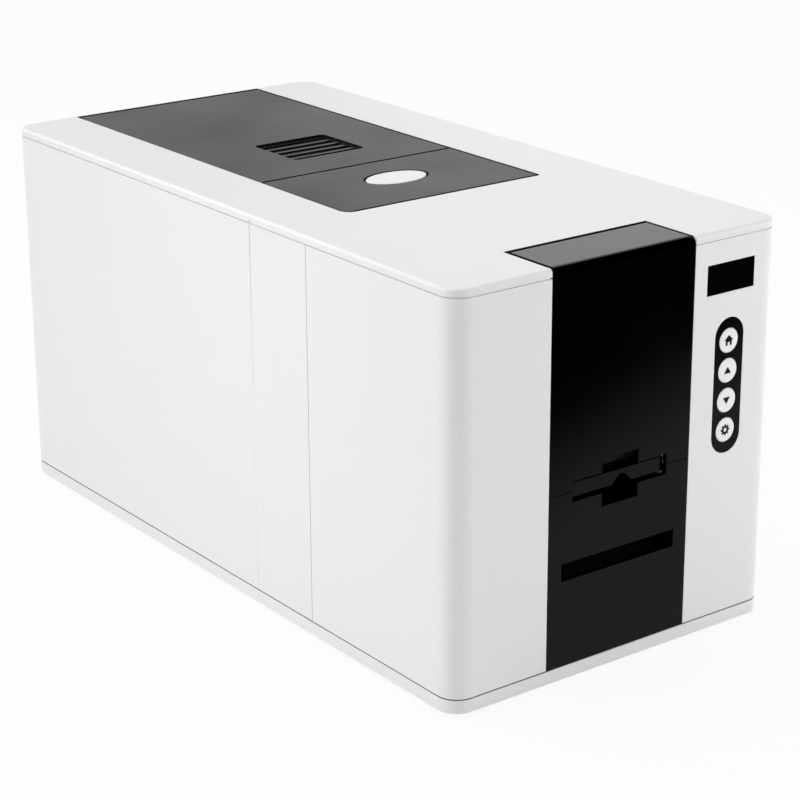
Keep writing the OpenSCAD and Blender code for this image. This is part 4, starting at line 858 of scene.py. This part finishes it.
# %% [markdown]
# ## Signs on the rocker switch
# The switch carries the two common signs, a ring for off and a bar for on, as thin inlays that tilt
# with it.

# %% Rocker signs
PIVOT, TILT = np.array([-33.5, 193.5, 39.5]), math.radians(8)
SIGN_BACK, SIGN_FACE, SIGN_UP = 4.1, 4.26, 5.2
OFF_IN, OFF_OUT, ON_HALF_W, ON_HALF_L, ON_CORNER = 1.15, 1.7, 0.3, 1.6, 0.15


def on_rocker(points):
    """Points in the rocker's own frame, laid back by TILT about X and moved to its pivot."""
    x, y, z = np.moveaxis(np.asarray(points, float), -1, 0)
    turned = (x, y * math.cos(TILT) + z * math.sin(TILT), z * math.cos(TILT) - y * math.sin(TILT))
    return np.stack(turned, -1) + PIVOT


ring = [(OFF_IN, SIGN_BACK), (OFF_OUT, SIGN_BACK), (OFF_OUT, SIGN_FACE), (OFF_IN, SIGN_FACE)]
off_sign = lathe(ring, (0, 0, -SIGN_UP), "Y", 48)
bar = np.array([(-1, -1), (1, -1), (1, 1), (-1, 1)]) * (ON_HALF_W, ON_HALF_L) + (0, SIGN_UP)
on_sign = np.stack([np.insert(rounded(bar, ON_CORNER), 1, y, axis=1) for y in (SIGN_BACK, SIGN_FACE)])
points, faces = join_grids([(on_rocker(off_sign), True), (on_rocker(on_sign), False)])
make_piece("switch_signs", points, faces, "key_white", "power_rocker")
print("signs on the switch")

# %% [markdown]
# ## Feet and screws
# The feet are turned rubber pads with a round lower edge. The screws are small pan heads with a cross
# recess: the head is a disc of rings whose height falls in the cross, and the shank is a plain round.

# %% Foot pads
FOOT_R, FOOT_H, FOOT_EDGE, FOOT_X, FOOT_Y = 8.0, 2.5, 0.9, 76, 174
turn = np.linspace(0, np.pi / 2, 6)
edge = np.stack([FOOT_R - FOOT_EDGE + FOOT_EDGE * np.sin(turn), FOOT_EDGE - FOOT_EDGE * np.cos(turn)], 1)
sole = [(0, 0.5), (3.6, 0.5), (4.1, 0), (FOOT_R - FOOT_EDGE - 0.6, 0)]
pad = np.concatenate([sole, edge, [(FOOT_R, FOOT_H), (0, FOOT_H)]])
pads = [lathe(pad, (x, y, 0), "Z", 56) for x in (-FOOT_X, FOOT_X) for y in (-FOOT_Y, FOOT_Y)]
feet = make_capped("foot_pads", pads, "rubber", "housing")
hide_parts("rubber_feet")

# %% Screws
HEAD_R, HEAD_H, SHANK_R, HEAD_DOME = 3.0, 1.2, 1.5, 0.35
CROSS_L, CROSS_W, CROSS_DEEP, CROSS_FLANK, CROSS_TIP = 1.7, 0.33, 0.7, 0.12, 0.3
REAR_FACE, REAR_LENGTH, REAR_X, REAR_HEIGHTS = 199.9, 4.7, 55, (11.8, 199.4)
TRAY_FACE, TRAY_LENGTH, TRAY_X, TRAY_PLACES = 1.7, 4.3, 54, (-150, 106)


def screw(length):
    """A screw along +Z, its head's top at 0. The head's height is a dome HEAD_DOME * (1 - (r / R)^2) less
    the cross, which is deep where the point lies within both the cross's width and its length."""
    radius = np.concatenate([np.linspace(0, 2.2, 23), [2.5, 2.8, HEAD_R]])[:, None]
    angle = np.linspace(0, 2 * np.pi, 96, endpoint=False)[None]
    x, y = radius * np.cos(angle), radius * np.sin(angle)
    narrow, wide = np.minimum(abs(x), abs(y)), np.maximum(abs(x), abs(y))
    within_width = np.clip((CROSS_W - narrow) / CROSS_FLANK + 0.5, 0, 1)
    within_length = np.clip((CROSS_L - wide) / CROSS_TIP + 0.5, 0, 1)
    top = -HEAD_DOME * (radius / HEAD_R) ** 2 - CROSS_DEEP * within_width * within_length
    side = [(HEAD_R, -HEAD_H), (SHANK_R, -HEAD_H), (SHANK_R, -length), (0, -length)]
    return np.concatenate([np.stack([x, y, top], -1), lathe(side, (0, 0, 0), "Z", 96)])


facing_rear = screw(REAR_LENGTH)[..., [0, 2, 1]] * (-1, 1, 1)
facing_down = screw(TRAY_LENGTH) * (1, -1, -1)
placed = [facing_rear + (x, REAR_FACE, z) for x in (-REAR_X, REAR_X) for z in REAR_HEIGHTS]
placed += [facing_down + (x, y, TRAY_FACE) for x in (-TRAY_X, TRAY_X) for y in TRAY_PLACES]
screws = make_capped("screw_set", placed, "screw_steel", "housing")
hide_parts("panel_screws")
print("feet and screws:", len(placed), "screws")

# %% [markdown]
# ## Fan rotor
# A small fan has seven blades that lean back and twist. A blade is a set of thin oval sections from hub
# to tip; each is turned a little further round the hub and laid a little flatter than the last.

# %% Fan blades
FAN = np.array([1.95, 56.9])
HUB_R, TIP_R, HUB_LOW, HUB_HIGH, HUB_EDGE, BLADES = 8.0, 18.2, 196.0, 203.0, 1.0, 7
BLADE_MIDDLE, BLADE_SWEEP, BLADE_ROOT = 199.5, 0.28, 0.6


def blade(start):
    """Sections at radius r from hub to tip. Along a section, q runs round an oval: cos q is the place on
    the chord and sin q the thickness. Angle = start + sweep + chord * cos q / r, height = middle + rise *
    cos q, less a slight arch."""
    r = np.linspace(HUB_R - BLADE_ROOT, TIP_R, 9)[:, None]
    out = (r - HUB_R) / (TIP_R - HUB_R)
    q = np.linspace(0, 2 * np.pi, 20, endpoint=False)[None]
    chord, rise = 3.3 + 1.6 * out, 2.7 - 0.7 * out
    angle = start + BLADE_SWEEP * out ** 1.5 + chord * np.cos(q) / r
    height = BLADE_MIDDLE + rise * np.cos(q) - 0.5 * (1 - np.cos(q) ** 2) + 0.42 * np.sin(q)
    return np.stack([FAN[0] + r * np.cos(angle), FAN[1] + r * np.sin(angle), height + 0 * r], -1)


turn = np.linspace(0, np.pi / 2, 6)
core = HUB_R - HUB_EDGE
cup = [(0, HUB_LOW + 0.6), (core, HUB_LOW + 0.6), (core, HUB_LOW), (HUB_R, HUB_LOW)]
shoulder = np.stack([core + HUB_EDGE * np.cos(turn), HUB_HIGH - HUB_EDGE + HUB_EDGE * np.sin(turn)], 1)
hub = np.concatenate([cup, shoulder, [(3.2, HUB_HIGH), (3.0, HUB_HIGH - 0.3), (0, HUB_HIGH - 0.3)]])
parts = [lathe(hub, (*FAN, 0), "Z", 64)] + [blade(a) for a in np.arange(BLADES) * 2 * np.pi / BLADES]
rotor = make_capped("fan_blades", parts, "inner_plastic", "fan_rotor")
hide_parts("fan_rotor")
print("fan rotor:", BLADES, "blades")

# %% [markdown]
# ## Timing belt
# A toothed belt links the four shafts. Its back is smooth and its inside carries teeth two millimetres
# apart. The belt is a loop round two pulleys, and its inner edge steps in and out along the loop.

# %% Belt
BELT_FRONT, BELT_REAR, BELT_Z = -140.0, 50.0, 88.7
BELT_LEFT, BELT_RIGHT = 53.5, 58.5
BELT_ROOT, BELT_TIP, BELT_LINE, BELT_BACK = 9.75, 9.32, 9.9, 10.5
BELT_TEETH, PER_TOOTH, TOOTH_FLANK = 218, 8, 1.6
span, bend = BELT_REAR - BELT_FRONT, np.pi * BELT_LINE
loop = 2 * (span + bend)
s = np.linspace(0, loop, BELT_TEETH * PER_TOOTH, endpoint=False)


def belt_line(s, r):
    """The point at distance s along the loop, at r from the pulleys' centres: over the top, round the
    rear pulley, back underneath and round the front pulley."""
    turn_rear = np.clip(s - span, 0, bend) / BELT_LINE
    turn_front = np.clip(s - 2 * span - bend, 0, bend) / BELT_LINE
    turn = turn_rear + turn_front
    run = np.clip(s, 0, span) - np.clip(s - span - bend, 0, span)
    return np.stack([BELT_FRONT + run + r * np.sin(turn), BELT_Z + r * np.cos(turn)], 1)


tooth = np.clip(0.5 + TOOTH_FLANK * np.sin(2 * np.pi * BELT_TEETH * s / loop), 0, 1)
inside = belt_line(s, BELT_ROOT + (BELT_TIP - BELT_ROOT) * tooth)
outside = belt_line(s, np.full_like(s, BELT_BACK))
corners = [(BELT_LEFT, inside), (BELT_RIGHT, inside), (BELT_RIGHT, outside), (BELT_LEFT, outside)]
grid = np.stack([np.column_stack([np.full(len(s), x), line]) for x, line in corners], 1)
belt = make_ring("timing_belt", grid, "belt_rubber", "housing")
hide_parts("drive_belt")
print("belt:", round(loop), "mm,", BELT_TEETH, "teeth")

# %% [markdown]
# ## Ribbon
# The supply spool carries a roll of film. The ends of a wound roll are never quite flat: they show fine
# rings where the turns lie on each other, so the end profile ripples from core to rim.

# %% Supply roll
ROLL = (0, 106, 122.1)
ROLL_HALF, ROLL_CORE, ROLL_R, ROLL_EDGE, RINGS, RIPPLE = 30.0, 7.0, 19.0, 0.4, 30, 0.05
r = np.linspace(ROLL_CORE, ROLL_R - 0.3, RINGS * 4)
ripple = RIPPLE + RIPPLE * np.cos(2 * np.pi * RINGS * (r - ROLL_CORE) / (ROLL_R - ROLL_CORE))
left_end = np.stack([r, ripple - ROLL_HALF], 1)
right_end = np.stack([r, ROLL_HALF - ripple], 1)[::-1]
rim = [(ROLL_R, ROLL_EDGE - ROLL_HALF), (ROLL_R, ROLL_HALF - ROLL_EDGE)]
grid = lathe(np.concatenate([left_end, rim, right_end]), ROLL, "X", 96)
roll = make_ring("ribbon_roll", grid, "ribbon_film", "supply")
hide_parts("supply_ribbon")

# %% Used ribbon
USED = (0, 10, 122.1)
USED_PROFILE = [(7.0, -30), (8.2, -29.9), (8.3, -29.6), (8.3, 29.6), (8.2, 29.9), (7.0, 30)]
make_ring("used_film", lathe(USED_PROFILE, USED, "X", 72), "ribbon_film", "take_up")
print("supply roll of", 2 * ROLL_R, "mm")
